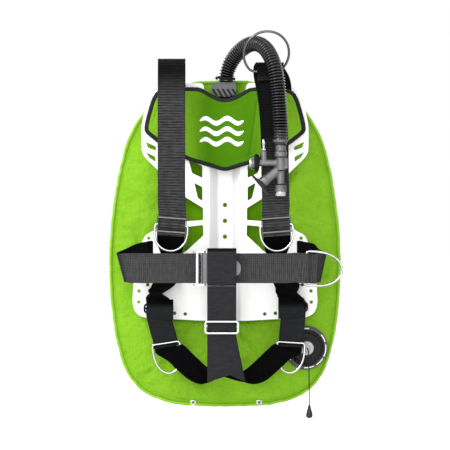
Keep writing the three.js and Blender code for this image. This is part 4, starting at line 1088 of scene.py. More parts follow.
def dump_valve():
    """Seat, gripped screw cap with its rim and marks, hub and return spring."""
    seat = [[16, -1], [33, -1], [33, 5], [38, 5], [38, 8], [30, 8], [30, 2], [16, 2]]
    soften(piece("valve_base", valve_part(seat, 72), "black_plastic", replaces=["valve_seat"]))
    cap = valve_part([
        [31, 8.4], [36, 8.4], [38.2, 8.2], [38.4, 3], [40.0, 3.2], [40.0, 8], [38.6, 9.6], [34.5, 11.6],
        [32.6, 11.0], [31.4, 9.9], [28, 9.9], [26.6, 12.2], [24, 12.5], [21.4, 11.6], [19.6, 11.6],
        [17.5, 12.5], [13.4, 12.5], [12.5, 12.1], [12.5, 10.7], [26, 9.2],
    ], 144, ripple=fluted(0.5, 36, (4, 5)))
    ribs(cap, 24, 18.5, 31.5, 10.4, 12.2)
    piece("valve_cap", cap, "cap_plastic", slot="black_plastic", replaces=["valve_ring"], sharp=35)
    rim = [[33.2, 11.45], [38.2, 9.9], [39.6, 8.5], [39.9, 8.5], [38.8, 10.2], [34.2, 12.1], [33.2, 12.0]]
    piece("valve_rim", valve_part(rim, 96), "rim_plastic", slot="black_plastic", sharp=60)

    marks = Shape()
    arcs = ((20, 26), (52, 34), (92, 22), (122, 30), (200, 30), (238, 26), (270, 36), (314, 24))
    for start, length in arcs:
        marks.loft([[VALVE_AT + ray(VALVE_OUT, t) * r + VALVE_OUT * h
                     for r, h in ((35.4, 11.7), (37.1, 11.0), (37.1, 11.3), (35.4, 12.05))]
                    for t in np.radians(np.linspace(start, start + length, 8))])
    piece("valve_marks", marks, "white_print", slot="grey_plastic")
    hub = valve_part([
        [0, 3], [20, 3], [20, 5], [11.5, 5], [11.5, 12.9], [12.7, 13.2], [12.6, 14.4], [10.6, 16.0],
        [6.4, 16.6], [5.8, 15.6], [2.4, 15.4], [2.1, 16.6], [0, 16.6],
    ], 48, closed=False)
    piece("valve_hub", hub, "hub_plastic", "dump_plunger", replaces=["valve_plunger"], sharp=35)
    spring = coil(VALVE_AT + VALVE_OUT * 6.2, VALVE_AT + VALVE_OUT * 9.2, 15.5, 2.4 * 2 * math.pi / 89, 90)
    made = piece("valve_coil", spring, "steel", replaces=["valve_spring"])
    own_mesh(made)


def ribs(shape, count, r0, r1, h0, h1):
    """Radial ribs on the valve cap."""
    section = ((-0.9, h0 - 1), (0.9, h0 - 1), (0.6, h1), (-0.6, h1))
    for i in range(count):
        out = ray(VALVE_OUT, 2 * math.pi * i / count)
        wide = np.cross(VALVE_OUT, out)
        shape.loft([[VALVE_AT + out * r + wide * w + VALVE_OUT * h for w, h in section] for r in (r0, r1)])


def pull_knob():
    """Teardrop knob with moulded flutes."""
    def flutes(turns, row):
        return -0.55 * np.clip(np.cos(turns * 4 + 0.6), 0, 1) ** 2 if 2 <= row <= 6 else 0 * turns

    shape = turned(Shape(), [
        [1.5, 0.4], [2.2, -0.4], [2.7, -3], [3.6, -6.5], [4.9, -11], [5.9, -15], [6.3, -18], [5.8, -20.6],
        [4.2, -22.5], [2.0, -23.3], [0, -23.4],
    ], np.array(CORD_ROUTE[-1]) / MM, (0, 0, 1), 48, ripple=flutes)
    return piece("dump_knob", shape, "dark_plastic", "dump_plunger", slot="black_plastic",
                 replaces=["pull_knob"], sharp=70)


# ------------------------------------------------------------------ inflator line
def lower_tie():
    """Ratchet strap tie round the foot of the hose, with its square head."""
    at, radius = (2.7, -20.3, 226.5), 15.0
    strap = [[radius, -2.4], [radius + 1.2, -2.2], [radius + 1.2, 2.2], [radius, 2.4]]
    shape = turned(Shape(), strap, at, (0.1, -0.05, 1), 120, closed=True, ripple=fluted(0.25, 60, (1, 2)))
    x, y, z = at
    face = x - radius - 0.6
    for half, depth, tall in ((3.5, 3.9, 3.0), (1.6, 5.2, 1.4)):
        corners = rectangle(-half, half, -tall, tall)
        near = [(face, y + a, z + b) for a, b in corners]
        far = [(face - depth, y + a * 0.8, z + b * 0.85) for a, b in corners]
        shape.loft([near, far])
    return soften(piece("lower_hose_tie", shape, "black_plastic", replaces=["elbow_hose_tie"]), 0.3)


def upright(profile, sides=64, closed=True, shape=None):
    """Turned part on the axis of the hose's upper end."""
    return turned(shape or Shape(), profile, (INF_X, INF_Y, 0), sides=sides, closed=closed)


def inflator():
    """Everything that the hose carries, from its elbow to its mouthpiece."""
    elbow = turned(Shape(), [
        [0, 0], [8, 0], [11.4, 1.6], [12.5, 4], [12.5, 15], [13.8, 17], [13.8, 21], [12.5, 22], [12.5, 26],
    ], (ELBOW_X, -20, 188), sides=48)
    cuff = [
        [9.2, 103], [11.8, 103.2], [11.8, 107], [12.4, 107.6], [12.4, 112.4], [11.8, 113], [11.8, 115.4],
        [13, 116.2], [13.6, 118.2], [13, 119.6], [9.2, 119.6],
    ]
    return [
        soften(piece("elbow_body", elbow, "black_plastic", replaces=["hose_elbow"])),
        lower_tie(),
        piece("hose_cuff", upright(cuff), "rubber", replaces=["inflator_cuff"], sharp=50),
        knurled_tie(),
        *inflator_body(),
        *buttons(),
        mouthpiece(),
    ]


def knurled_tie():
    """Upper tie: two rows of square lugs round a plain band."""
    band = upright([[12.5, 107.8], [13.3, 107.8], [13.3, 112.2], [12.5, 112.2]])
    lugs = 14
    for i in range(lugs):
        t = 2 * math.pi * i / lugs + 0.2
        out, side = np.array([math.cos(t), math.sin(t), 0]), np.array([-math.sin(t), math.cos(t), 0])
        for z in (108.9, 111.1):
            band.loft([[np.array([INF_X, INF_Y, z + b * 0.75]) + out * r + side * a * w
                        for a, b in rectangle(-1, 1, -1, 1)] for r, w in ((13.2, 1.7), (14.0, 1.3))])
    made = piece("upper_hose_tie", band, "grey_plastic", slot="black_plastic",
                 replaces=["inflator_hose_tie"])
    return soften(made, 0.2)


def inflator_body():
    """Moulded T-body: socket, barrel, side port and slanted mouth tube, blended where they meet."""
    blank = upright([
        [0, 102], [10.2, 102], [10.2, 91.6], [11.2, 90.6], [11.8, 89.5], [11.8, 82], [11.2, 80.8], [9.5, 80],
        [9.5, 57.5], [8.6, 55.8], [7.2, 55], [7.2, 32], [8.4, 30.6], [10.9, 30], [10.9, 28.2],
    ], closed=False)
    turned(blank, [[6.6, 0], [6.6, 38]], (62, INF_Y, PORT_Z), (1, 0, 0), 48)
    turned(blank, [[10.6, 0], [10.8, 9], [10.0, 10], [9.2, 35]], MOUTH_AT, (25.9, 0, 21.7), 48)
    turned(blank, [[6.4, -6], [6.4, 13.2], [5.6, 14.8], [4.8, 15.4], [0, 15.5]], (70, INF_Y, 77), sides=36)
    side_box = ((7, -6), (13.6, -5), (13.6, 5), (7, 6))
    blank.loft([[(INF_X + x, INF_Y + y, z) for x, y in side_box] for z in (60, 79)])
    body = piece("inflator_tee", blank, "grey_plastic", replaces=["inflator_body"], sharp=40)
    mesh_blend(body, 0.75)
    cap = upright([
        [8.8, 28.4], [10.9, 28.4], [10.9, 26.6], [10.3, 26.2], [10.3, 24.4], [11.3, 24], [11.3, 18.2],
        [11.0, 17.9], [10.8, 17.9], [10.8, 21.7], [8.8, 21.7],
    ])
    collar = soften(piece("oral_collar", cap, "grey_plastic", slot="black_plastic"), 0.25)
    bands = Shape()
    for z, r in ((91.0, 10.7), (80.8, 11.2), (56.4, 9.4), (31.3, 9.6)):
        upright(rectangle(r - 0.6, r + 0.35, z - 0.9, z + 0.9), shape=bands)
    return [body, collar, piece("body_grooves", bands, "black_plastic", sharp=50)]


def mesh_blend(obj, voxel):
    """Joins overlapping parts into one skin with small fillets where they meet."""
    remesh = obj.modifiers.new("one_skin", "REMESH")
    remesh.mode = "VOXEL"
    remesh.voxel_size = voxel * MM
    remesh.use_smooth_shade = True
    even = obj.modifiers.new("fillet", "SMOOTH")
    even.factor = 0.5
    even.iterations = 3


def buttons():
    """Power-inflate button with its knurled ring, quick-release nipple, oral button and springs."""
    def on_port(profile, x, sides, closed=True, ripple=None):
        return turned(Shape(), profile, (x, INF_Y, PORT_Z), (1, 0, 0), sides, closed=closed, ripple=ripple)

    ring = on_port([
        [10.4, 5.4], [13.2, 5.4], [14.8, 6.4], [15.2, 8.6], [15.0, 12.0], [13.4, 14.0], [8, 14.2],
        [8, 12.4], [10.4, 12.2],
    ], RING_X, 144, ripple=fluted(0.45, 24, (2, 3, 4)))
    sleeve = on_port([[10.4, 0.4], [11.0, 0.0], [11.8, 0.8], [11.9, 5.6], [10.4, 5.6]], RING_X, 64)
    button = on_port([
        [0, 0.6], [4, 0.35], [7.5, 0], [9.2, 0.9], [9.9, 2.4], [9.9, 8.5], [0, 8.5],
    ], BUTTON_X, 48, closed=False)
    nipple = turned(Shape(), [
        [0, 92.9], [5, 92.9], [5.3, 94.4], [5, 96], [2.8, 97.5], [2.8, 104], [3.8, 105.2], [3.9, 107.6],
        [2.9, 109.2], [2.8, 111.8], [2.3, 112.4], [0, 112.4],
    ], (70, INF_Y, 0), sides=36)
    oral = upright([
        [0, 9.9], [8.8, 9.7], [10.0, 10.2], [10.4, 11], [10.4, 18.2], [8.1, 18.4], [8.1, 21], [0, 21],
    ], 48, closed=False)
    made = [
        piece("inflate_grip", ring, "black_plastic", replaces=["inflate_button_ring"], sharp=35),
        soften(piece("inflate_sleeve", sleeve, "grey_plastic"), 0.25),
        soften(piece("inflate_plunger", button, "steel", "power_button", replaces=["inflate_button"]), 0.3),
        piece("quick_nipple", nipple, "steel", replaces=["lp_nipple"], sharp=45),
        soften(piece("oral_plunger", oral, "steel", "oral_button", replaces=["deflate_button"]), 0.3),
    ]
    for name, start, end, radius, node, joint, keep in (
        ("inflate_coil", (52.6, INF_Y, PORT_Z), (58.5, INF_Y, PORT_Z), 6,
         "inflate_spring", "inflate_press", 0.5),
        ("oral_coil", (INF_X, INF_Y, 22), (INF_X, INF_Y, 26.1), 5.5,
         "deflate_spring", "deflate_press", 0.3),
    ):
        start, end = np.array(start, float), np.array(end, float)
        made.append(piece(name, coil(start, end, radius, 0.24, 60), "steel", replaces=[node]))
        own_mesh(made[-1])
    return made


def mouthpiece():
    """Soft oval mouthpiece: a sleeve, a thin bite flange and a rolled rim."""
    out, side = np.array([-0.766, 0, -0.643]), np.array([0.643, 0, -0.766])
    at = np.array(MOUTH_AT) + out * 0.4
    rings = []
    for h, a, b in (  # how far out, half width and half depth
        (0, 10.9, 10.6), (1.5, 11.6, 10.8), (2.8, 14, 11.4), (3.6, 21, 12.6), (4.4, 23.4, 13.6),
        (6.0, 24.0, 14.0), (7.4, 23.2, 13.5), (7.8, 21.5, 12.4), (7.0, 18, 10.4), (6.2, 9.6, 6.6),
        (5.6, 8.6, 5.6), (1.5, 8.0, 5.0),
    ):
        rings.append([at + out * h + side * a * math.cos(t) + np.array([0, b * math.sin(t), 0])
                      for t in np.linspace(0, 2 * math.pi, 56, endpoint=False)])
    return piece("bite_mouthpiece", Shape().loft(rings), "dark_plastic", slot="rubber",
                 replaces=["mouthpiece"], sharp=80)


# ------------------------------------------------------------------ plate and pad
def flange_rear(x):
    """Rear face of the plate's sloping sides."""
    return PLATE["flange_y"] - PLATE["slope"] * (abs(x) - PLATE["bend_x"])


def plate_section():
    """Half section of the bent sheet, with rounded bends, then its mirror image."""
    t, floor_y, floor_x, bend_x = (PLATE[k] for k in ("t", "floor_y", "floor_x", "bend_x"))
    edge = 180
    rear = [(floor_x, floor_y), (bend_x, flange_rear(bend_x)), (edge, flange_rear(edge))]
    front = [(edge, flange_rear(edge) - t), (bend_x, flange_rear(bend_x) - t), (floor_x - 1, floor_y - t)]
    half = rear + front
    return rounded(half + mirrored(half), 3.0, 4)


def backplate():
    """Bent sheet with its windows, bolt holes and strap slots."""
    holes = [rounded(w, 2.2, 4) for w in PLATE_WINDOWS]
    holes += [mirrored(h) for h in holes]
    holes += [disc(side * x, z, 3.2) for x, z in PLATE_HOLES for side in (-1, 1)]
    holes += [disc(0, z, 4) for z in SPINE_HOLES]
    for limits in SLOTS:
        slot = rounded(rectangle(*limits), 3.5, 5)
        holes += [slot, mirrored(slot)]
    outline = slab(rounded(symmetric(PLATE_EDGE), 9, 6), -60, 0)
    blank = carved(prism(plate_section(), -230, 230), [outline], "INTERSECT")
    plate = piece("bent_plate", carved(blank, [slab(h, -62, 2) for h in holes]), "plate_paint",
                  replaces=["backplate"], sharp=30)
    return soften(plate, 0.7, 3, 40)


def pad_edge_z(x, table):
    return float(np.interp(abs(x), [p[0] for p in table], [p[1] for p in table]))


def pad_back(x):
    return flange_rear(max(abs(x), PLATE["bend_x"])) - PLATE["t"] - 3.9


def outline_distance(outline):
    """Function that tells how far a point is from the outline."""
    a = np.array(outline, float)
    along = np.roll(a, -1, 0) - a

    def distance(x, z):
        p = np.array([x, z])
        t = np.clip(((p - a) * along).sum(1) / np.maximum((along ** 2).sum(1), 1e-9), 0, 1)
        return float(np.min(np.linalg.norm(p - a - along * t[:, None], axis=1)))
    return distance


def pad_height(x, z, distance):
    """Foam thickness: rolled edge, crowned body, shallow pressed channels beside the middle."""
    d = distance(x, z)
    roll = math.sqrt(max(0, 1 - (1 - min(d / 16, 1)) ** 2))
    crown = 1.6 * smoothstep(d, 12, 50)
    channel = 1.7 * math.exp(-((abs(x) - 52 - 0.14 * (z - 130)) / 2.4) ** 2)
    rim = 1.4 * math.exp(-((d - 15) / 2.2) ** 2)
    dimple = 0.45 * swell(x, 0, z, 30, 2.2)
    return 4.2 + 4.8 * roll + crown - channel * smoothstep(d, 4, 16) - rim * 0.8 + dimple


def back_pad():
    """Foam pad on the plate's upper half, with its binding and a plain emblem."""
    outline = rounded(symmetric(PAD_TOP + PAD_FOOT[::-1][1:]), 9, 6)
    distance = outline_distance(outline)
    columns, rows, inside = 150, 44, 4.5
    rings = []
    for i in range(columns + 1):
        x = -142.5 + 285 * i / columns
        low, high = pad_edge_z(x, PAD_FOOT) + inside, pad_edge_z(x, PAD_TOP) - inside
        high = max(high, low + 1)
        levels = [low + (high - low) * (0.5 - 0.5 * math.cos(math.pi * k / rows)) for k in range(rows + 1)]
        front = [(x, pad_back(x) - pad_height(x, z, distance), z) for z in levels]
        rings.append(front + [(x, pad_back(x), z) for z in levels[::-1]])
    pad = piece("lumbar_pad", Shape().loft(rings), "pad_fabric", replaces=["back_pad"], sharp=75)
    pad_binding(outline)
    emblem(distance)


def pad_binding(outline):
    """Tape folded round the pad's edge, with its row of thread."""
    line = curve([(x, pad_back(x) - 3.9, z) for x, z in outline], 420, closed=True)
    inward = np.array([unit(np.cross((0, 1, 0), t)) for t in tangents(line, True)])
    if inward[0] @ (np.array([0, 0, 140]) - line[0]) < 0:
        inward = -inward
    section = [
        (0.2, 0), (0.5, -2.6), (1.6, -4.1), (4.0, -4.6), (7.4, -4.5), (8.3, -3.6), (8.0, -2.4), (7.8, 2.2),
        (8.2, 3.2), (7.4, 3.8), (4.0, 3.85), (1.6, 3.7), (0.5, 2.4),
    ]
    rings = [[p + n * a + (0, b, 0) for a, b in section] for p, n in zip(line, inward)]
    binding = Shape().loft(rings, closed=True, u=np.linspace(0, 30, len(section)), v=run_along(line, True))
    piece("pad_edge_binding", binding, "binding", replaces=["pad_binding"], sharp=60)
    row = [p + n * 7.2 + (0, -4.5, 0) for p, n in zip(line, inward)]
    thread = stitches(Shape(), row, (0, -1, 0), pitch=3.8, length=2.6, radius=0.35, closed=True, lift=0.15)
    piece("binding_stitching", thread, "black_thread", slot="binding")


def emblem(distance):
    """Three plain wavy bars printed across the middle of the pad."""
    half, wave, thick, middle = 40, 4.6, 4.4, -6
    shape = Shape()
    for z in (148, 129, 110):
        rings = []
        for along in np.linspace(-half, half, 80):
            x = along + middle
            mid = z + wave * math.sin(along / half * 2 * math.pi)
            wide = thick * min(1, math.sqrt(max(0.02, 1 - (abs(along) / half) ** 6)))
            edge = ((-wide, -0.3), (-wide, 0.35), (0, 0.45), (wide, 0.35), (wide, -0.3))
            rings.append([(x, pad_back(x) - pad_height(x, mid + dz, distance) - lift, mid + dz)
                          for dz, lift in edge])
        shape.loft(rings)
    piece("wave_print", shape, "white_print", slot="plate_paint", sharp=60)


def hose_tab():
    """Woven tab over the hose's base, its foot cut to the pad's dip."""
    tab = slab(rounded(TAB, 3, 4), -36.4, -34.9)
    soften(piece("folded_tab", tab, "tab_fabric", replaces=["hose_tab"]), 0.35)
    thread = Shape()
    top_row = [(-23, 215.6), (18, 215.6)]
    foot_row = [(-23, 200.6), (-11.5, 195.2), (0, 193.8), (10, 194.8), (18, 198)]
    for row in (top_row, foot_row):
        stitches(thread, lifted(row, -36.5), (0, -1, 0), 3.2, 2.2, 0.3)
    piece("tab_stitching", thread, "black_thread", slot="webbing")


# ------------------------------------------------------------------ webbing
def web_piece(name, shape, finish, *nodes):
    return piece(name, shape, finish, slot="webbing", replaces=nodes, sharp=60)


def strap_section(width, thickness):
    """Flat webbing with thick rounded selvages, as (across, out) points."""
    edge, half = width / 2, thickness / 2
    left = [(-edge, 0), (-edge + 0.25, half * 0.75), (-edge + 1.2, half * 1.08), (-edge + 2.8, half),
            (-edge + 3.6, half * 0.86), (-edge * 0.55, half * 0.92)]
    top = left + [(0, half * 0.95)] + [(-a, b) for a, b in reversed(left[1:])]
    return top + [(edge, 0)] + [(a, -b) for a, b in reversed(top[1:])]


def stations(stops, steps):
    """Smooth route through stops of (place, across), with the across direction turning evenly."""
    centre = [np.array(at, float) for at, _ in stops]
    sides = [unit(across) for _, across in stops]
    result = []
    for i in range(steps + 1):
        u = i / steps
        place = u * (len(stops) - 1)
        k = min(int(place), len(stops) - 2)
        result.append((catmull(centre, u), unit(sides[k] + (sides[k + 1] - sides[k]) * (place - k))))
    return result


def ribbon(route, width, thickness=WEB_T, closed=False):
    """Webbing along a route of (place, across) pairs."""
    line = np.array([p for p, _ in route])
    section = strap_section(width, thickness)
    rings = []
    for (p, across), t in zip(route, tangents(line, closed)):
        out = unit(np.cross(across, t))
        rings.append([p + across * a + out * b for a, b in section])
    run = [*run_along(line, closed), 0]
    return Shape().loft(rings, closed=closed, u=[a for a, _ in section], v=run)


def arch(at, across, down, height):
    """Route over a ring's straight bar."""
    normal = -unit(np.cross(across, down))
    rise = [(-20, 0), (-9, 0), (-6.5, 0.45), (-4.8, 0.85), (0, 1)]
    steps = rise + [(-s, h) for s, h in reversed(rise[:-1])]
    return [(np.array(at) + unit(down) * s + normal * height * h, unit(across)) for s, h in steps]


def flange_across(side):
    """Across direction of webbing that lies on one of the plate's sloping sides."""
    return (1, -side * PLATE["slope"], 0)


def shoulder_strap(key, side, xs, top_z, finish):
    """Strap over the shoulder to its chest ring, and the twisted tail from there to the plate."""
    flat, level = flange_across(side), (1, 0, 0)
    y = flange_rear(xs[0])
    places = [
        (xs[0], y + 2.6, 172), (xs[0], y + 2.6, 184), (xs[0], y - 1.5, 192), (xs[0], y - 5.2, 200),
        (xs[0], y - 5.4, 213), (xs[1], -43, top_z - 24), (xs[2], -52, top_z - 6), (xs[2], -64, top_z),
        (xs[3], -77, top_z - 7), (xs[3], -88, top_z - 26), (xs[4], -98, top_z - 57), (xs[5], -105.5, 150),
        (xs[6], -108, 100), (xs[7], -105.5, 35), (xs[8], -101, -8),
    ]
    rise = list(zip(places, [flat] * 5 + [level] * 9 + [(1, 0, 0.04 * side)]))
    over = arch(*CHEST[key], ARCH)
    across = CHEST[key][1]
    end = over[-1][0]
    behind = end + (0, WEB_T + 0.3, 0)
    lower = [
        (behind + (0, 0, 9), across), (behind + (0, 0, -1), across),
        ((end[0], -90.5, -73), (0.98, 0.2 * side, 0)),
        ((end[0] - side * 0.5, -81.5, -86), (0.86, 0.5 * side, 0)),
        ((end[0] - side, -70, -99), (0.62, 0.78 * side, 0)),
        ((side * 96, -50, -107), (0.8, 0.55 * side, 0)), ((side * 96, -27.6, -109), flat),
    ]
    web_piece(f"{key}_strap_tail", ribbon(stations(lower, 40), WEB), "shade_dark_webbing")
    web_piece(f"{key}_strap", ribbon(stations(rise, 110) + over, WEB), finish, f"{key}_shoulder_strap")


def waist_belt(key, side, fold_x, fold_tilt, tail, ring_x=None):
    """Belt half from its plate slot, folded round at the side and along the front at belt height."""
    slot_x, flat_y = side * 138, BELT["y"]
    level, folded = (side * 0.05, 0, 1), (side * fold_tilt, 0, 1)
    bend = [
        ((slot_x - side * 9, -32, -98), level), ((slot_x - side * 4, -33.2, -98.2), level),
        ((slot_x, -36.4, -98.6), level), ((slot_x + side * 5, -40.6, -99.4), level),
        ((side * 158, -46, -103), (side * 0.14, 0, 1)),
        ((side * (fold_x - 13), -57, -112), (side * 0.22, 0, 1)),
        ((side * fold_x, -76, -118), folded), ((side * (fold_x - 4), -96, -120), folded),
        ((side * (fold_x - 14), -106, BELT["z"]), (side * 0.12, 0, 1)),
    ]
    over = arch((ring_x, flat_y, BELT["z"]), (0.06, 0, 1), (-1, 0, 0.06), -ARCH) if ring_x else []
    front = stations([((x, y, BELT["z"]), (0, 0, 1)) for x, y in tail], 24)
    strap = ribbon(stations(bend, 70) + over + front, BELT_WEB)
    web_piece(f"{key}_belt", strap, "belt", f"{key}_waist_belt")


def harness():
    shoulder_strap("left", -1, [-97] * 9, 259.5, "webbing")
    shoulder_strap("right", 1, [96, 92, 82, 77, 83, 88, 90, 91, 92.4], 253, "hose_side_webbing")
    y = BELT["y"]
    waist_belt("left", -1, 189, 0.27, [(-158, -110.5), (-120, y), (-78, y), (-60, -109.5), (-44, -106.4)])
    waist_belt("right", 1, 178, 0.22, [(112, y), (60, y), (10, y), (-38, y)], WAIST_RING["x"])
    belt_loop()
    crotch_web()
    loop_stitching()
    for side, key in ((-1, "left"), (1, "right")):
        hip_strap(side, key)
        crotch_branch(key)
    ring_patch()


def belt_loop():
    """Sewn loop of the crotch strap round the belt and its buckle."""
    front, back, top, bottom, r = -129, -100, -85, -151, 7
    path = []
    for y, z, start in ((front + r, top - r, 180), (back - r, top - r, 90), (back - r, bottom + r, 0),
                        (front + r, bottom + r, -90)):
        for turn in np.radians([start - i / 8 * 90 for i in range(9)]):
            path.append(np.array([CROTCH_X, y + r * math.cos(turn), z + r * math.sin(turn)]))
    route = [(p, np.array([1.0, 0, 0])) for p in evenly(path, 4, round)]
    web_piece("belt_loop", ribbon(route, BELT_WEB - 1, closed=True), "crotch_webbing", "crotch_loop")


def evenly(path, step, whole):
    """Closed path with more points along its straight runs, about a step apart."""
    points = []
    for a, b in zip(path, path[1:] + path[:1]):
        parts = max(1, whole(np.linalg.norm(b - a) / step))
        points += [a + (b - a) * k / parts for k in range(parts)]
    return points


def loop_stitching():
    """Rows of thread across the front of the loop."""
    thread = Shape()
    for z in (-92.5, -141.5, -144.5):
        row = [(CROTCH_X - 24, -130.4, z), (CROTCH_X + 24, -130.4, z)]
        stitches(thread, row, (0, -1, 0), 3.4, 2.3, 0.36)
    piece("loop_stitching", thread, "black_thread", slot="webbing")


def crotch_web():
    """Strap below the loop: it flares to its right near the foot, which is cut to an upturned V."""
    top, flare_from = -152.3, -245
    left, peak, width, foot_width = CROTCH_X - 26.3, 10.5, 52.6, 69.6
    columns, rows = 48, 90
    rings = []
    for i in range(columns + 1):
        share = i / columns
        foot = np.interp(left + share * foot_width, (left, peak, left + foot_width), (-327.5, -314.2, -327))
        line = []
        for z in np.linspace(top, foot, rows):
            flare = max(0, flare_from - z) * 0.21
            y = SLIDE_AT[1] + (SLIDE_AT[2] - z) * SLIDE_DOWN[1]
            y += 0.55 * max(0, share - 0.72) * flare
            y += 1.3 * smoothstep(-z, 262, 322) * math.sin(share * 5.5)
            line.append((left + share * (width + flare), y, z))
        edge = WEB_T / 2 * (0.6 + 0.5 * math.sin(math.pi * min(share, 1 - share, 0.06) / 0.12))
        rings.append([(x, y - edge, z) for x, y, z in line]
                     + [(x, y + edge, z) for x, y, z in reversed(line)])
    down = list(np.linspace(0, -top + 22, rows))
    shape = Shape().loft(rings, u=down + down[::-1], v=np.linspace(-26, 26, columns + 2))
    shape.uvs = [tuple((v, u) for u, v in face) for face in shape.uvs]
    web_piece("crotch_web", shape, "crotch_webbing", "crotch_strap")


def hip_strap(side, key):
    """Hip strap, and the fold of webbing that covers its slide."""
    (x, _, _), across, _ = HIP[key]
    wide, _, slide_z = HIP_SLIDE[key]
    level = (1, 0, 0)
    shift, turn = HIP_TWIST[key]
    route = stations([
        ((side * 107, -27.8, -137), flange_across(side)), ((side * 108, -42, -143), level),
        ((side * 114, -50, -154), (1, 0, 0.15)), ((wide + shift, -55, -167), turn),
        ((wide, -57, -181), level), ((wide, -57, -205), level), (((wide + x) / 2, -55.5, -232), across),
        ((x, -55, -257), across), ((x, -56.4, -264), across),
    ], 80)
    web_piece(f"{key}_hip_web", ribbon(route, HIP_WEB), "hip_webbing", f"{key}_hip_strap")
    folded, lean = wide - side * 3.6, (1, 0, 0.1 * side)
    fold = stations([
        ((folded, -59, slide_z + 16), level), ((folded, -61, slide_z + 13), level),
        ((folded, -64.6, slide_z + 8), (1, 0, 0.05)), ((folded, -64.8, slide_z - 6), (1, 0, 0.08 * side)),
        ((folded, -61.5, slide_z - 13), lean), ((folded, -58.6, slide_z - 19), lean),
    ], 30)
    web_piece(f"{key}_hip_fold", ribbon(fold, HIP_WEB + 2), "hip_webbing")


BRANCH = {  # stops of each crotch branch, from its hip ring to the crotch strap
    "left": [
        ((-107.8, -57, -265.2), (1, 0, 0.15)), ((-106, -65.5, -269.5), (1, 0, 0.3)),
        ((-92, -69.5, -273), (0.72, 0, 0.7)), ((-74.6, -72, -289), (0.64, 0, 0.77)),
        ((-57, -72, -304.5), (0.5, -0.1, 0.86)), ((-42, -70, -313.5), (0.2, -0.45, 0.88)),
        ((-27, -68, -315), (0, -0.8, 0.58)), ((-7.2, -68, -307), (0, -0.86, 0.5)),
    ],
    "right": [
        ((120, -57, -265.2), (1, 0, -0.06)), ((118, -65.5, -269.5), (1, 0, -0.3)),
        ((106, -70, -271), (0.75, 0, -0.65)), ((87, -72.5, -287), (0.68, 0, -0.73)),
        ((66, -72.5, -306), (0.5, 0.1, -0.86)), ((51, -70.5, -314), (0.2, 0.5, -0.85)),
        ((34, -68, -317), (0, 0.84, -0.5)), ((-4.6, -68, -307), (0, 0.86, -0.5)),
    ],
}


def crotch_branch(key):
    strap = ribbon(stations(BRANCH[key], 70), HIP_WEB - 4)
    web_piece(f"{key}_branch_web", strap, "shade_dark_webbing", f"{key}_crotch_branch")


def ring_patch():
    """Sewn patch that holds the hose ring on the shoulder strap."""
    down = unit((0.02, -0.42, -0.9))
    normal = -unit(np.cross((1, 0, 0), down))
    base = np.array(HOSE_RING_AT) - normal * 3.4
    rise = [(-17, -1.2), (-10, -0.6), (-7.5, 3), (-5.5, 6.2), (-3, 8.2), (0, 8.8)]
    steps = rise + [(-a, b) for a, b in reversed(rise[:-1])]
    route = [(base + down * a + normal * b, unit(HOSE_RING_ACROSS)) for a, b in steps]
    web_piece("ring_holder", ribbon(route, 34, 1.6), "webbing", "hose_ring_patch")


# ------------------------------------------------------------------ metal hardware
def facing(across, down):
    """Direction that a ring or frame faces."""
    return unit(np.cross(-unit(down), unit(across)))


def placed(points, at, across, down):
    """Points in a part's own axes (across, out, up), set on the harness."""
    x, z = unit(across), -unit(down)
    y = unit(np.cross(z, x))
    return [np.array(at) + x * p[0] + y * p[1] + z * p[2] for p in points]


def d_ring_line(half, depth):
    """Middle line of a D-ring's wire: a straight bar on top, round below."""
    straight, corner = depth * 0.32, 4
    turns = [math.pi + i / 40 * math.pi for i in range(41)]
    bow = [(half * math.cos(t), 0, -straight + (depth - straight) * math.sin(t)) for t in turns]
    top = [(half - corner, 0, 0), (half / 2, 0, 0), (0, 0, 0), (-half / 2, 0, 0), (-half + corner, 0, 0),
           (-half + 1.2, 0, -1.2), (-half, 0, -corner)]
    return top + bow[1:-1] + [(half, 0, -corner), (half - 1.2, 0, -1.2)]


def ring_piece(name, line, radius, body, node, normal, finish="steel"):
    shape = sweep(Shape(), curve(line, 220, closed=True), circle(radius, 16), normal, closed=True)
    return piece(name, shape, finish, body, slot="steel", replaces=[node], sharp=80)


def rod(shape, a, b, radius, sides=20):
    """Round bar between two points with eased ends."""
    a, b = np.array(a, float), np.array(b, float)
    long, end = np.linalg.norm(b - a), radius * 0.72
    profile = [[end, 0], [radius, 0.5], [radius, long / 2], [radius, long - 0.5], [end, long]]
    return turned(shape, profile, a, b - a, sides)


def chest_hardware():
    """Keeper frame and D-ring on each shoulder strap."""
    inner, outer, low, high, front, rear = 25.4, 27.1, 11, 14, -4.2, 4.4
    boxes = [(-outer, outer, 2, rear, -2.5, 2.5)]
    for s in (-1, 1):
        xs = sorted((s * inner, s * outer))
        boxes.append((*xs, 2, rear, -high, high))
        boxes.append((-outer, outer, front, -1.7, *sorted((s * low, s * high))))
        boxes += [(*xs, front, rear, *sorted((k * low, k * high))) for k in (-1, 1)]
    for key, (at, across, down) in CHEST.items():
        shape = Shape()
        for x0, x1, y0, y1, z0, z1 in boxes:
            shape.loft([placed([(x, y, z) for x, y in rectangle(x0, x1, y0, y1)], at, across, down)
                        for z in (z0, z1)])
        keeper = piece(f"{key}_keeper", shape, "keeper_steel", slot="steel",
                       replaces=[f"{key}_chest_keeper"])
        soften(keeper, 0.7, 3)
        line = d_ring_line(CHEST_RING["half"], CHEST_RING["depth"])
        line = placed([(x, -1.4, z) for x, _, z in line], at, across, down)
        ring_piece(f"{key}_chest_d", line, CHEST_RING["wire"], f"{key}_chest_ring", f"{key}_chest_d_ring",
                   facing(across, down))


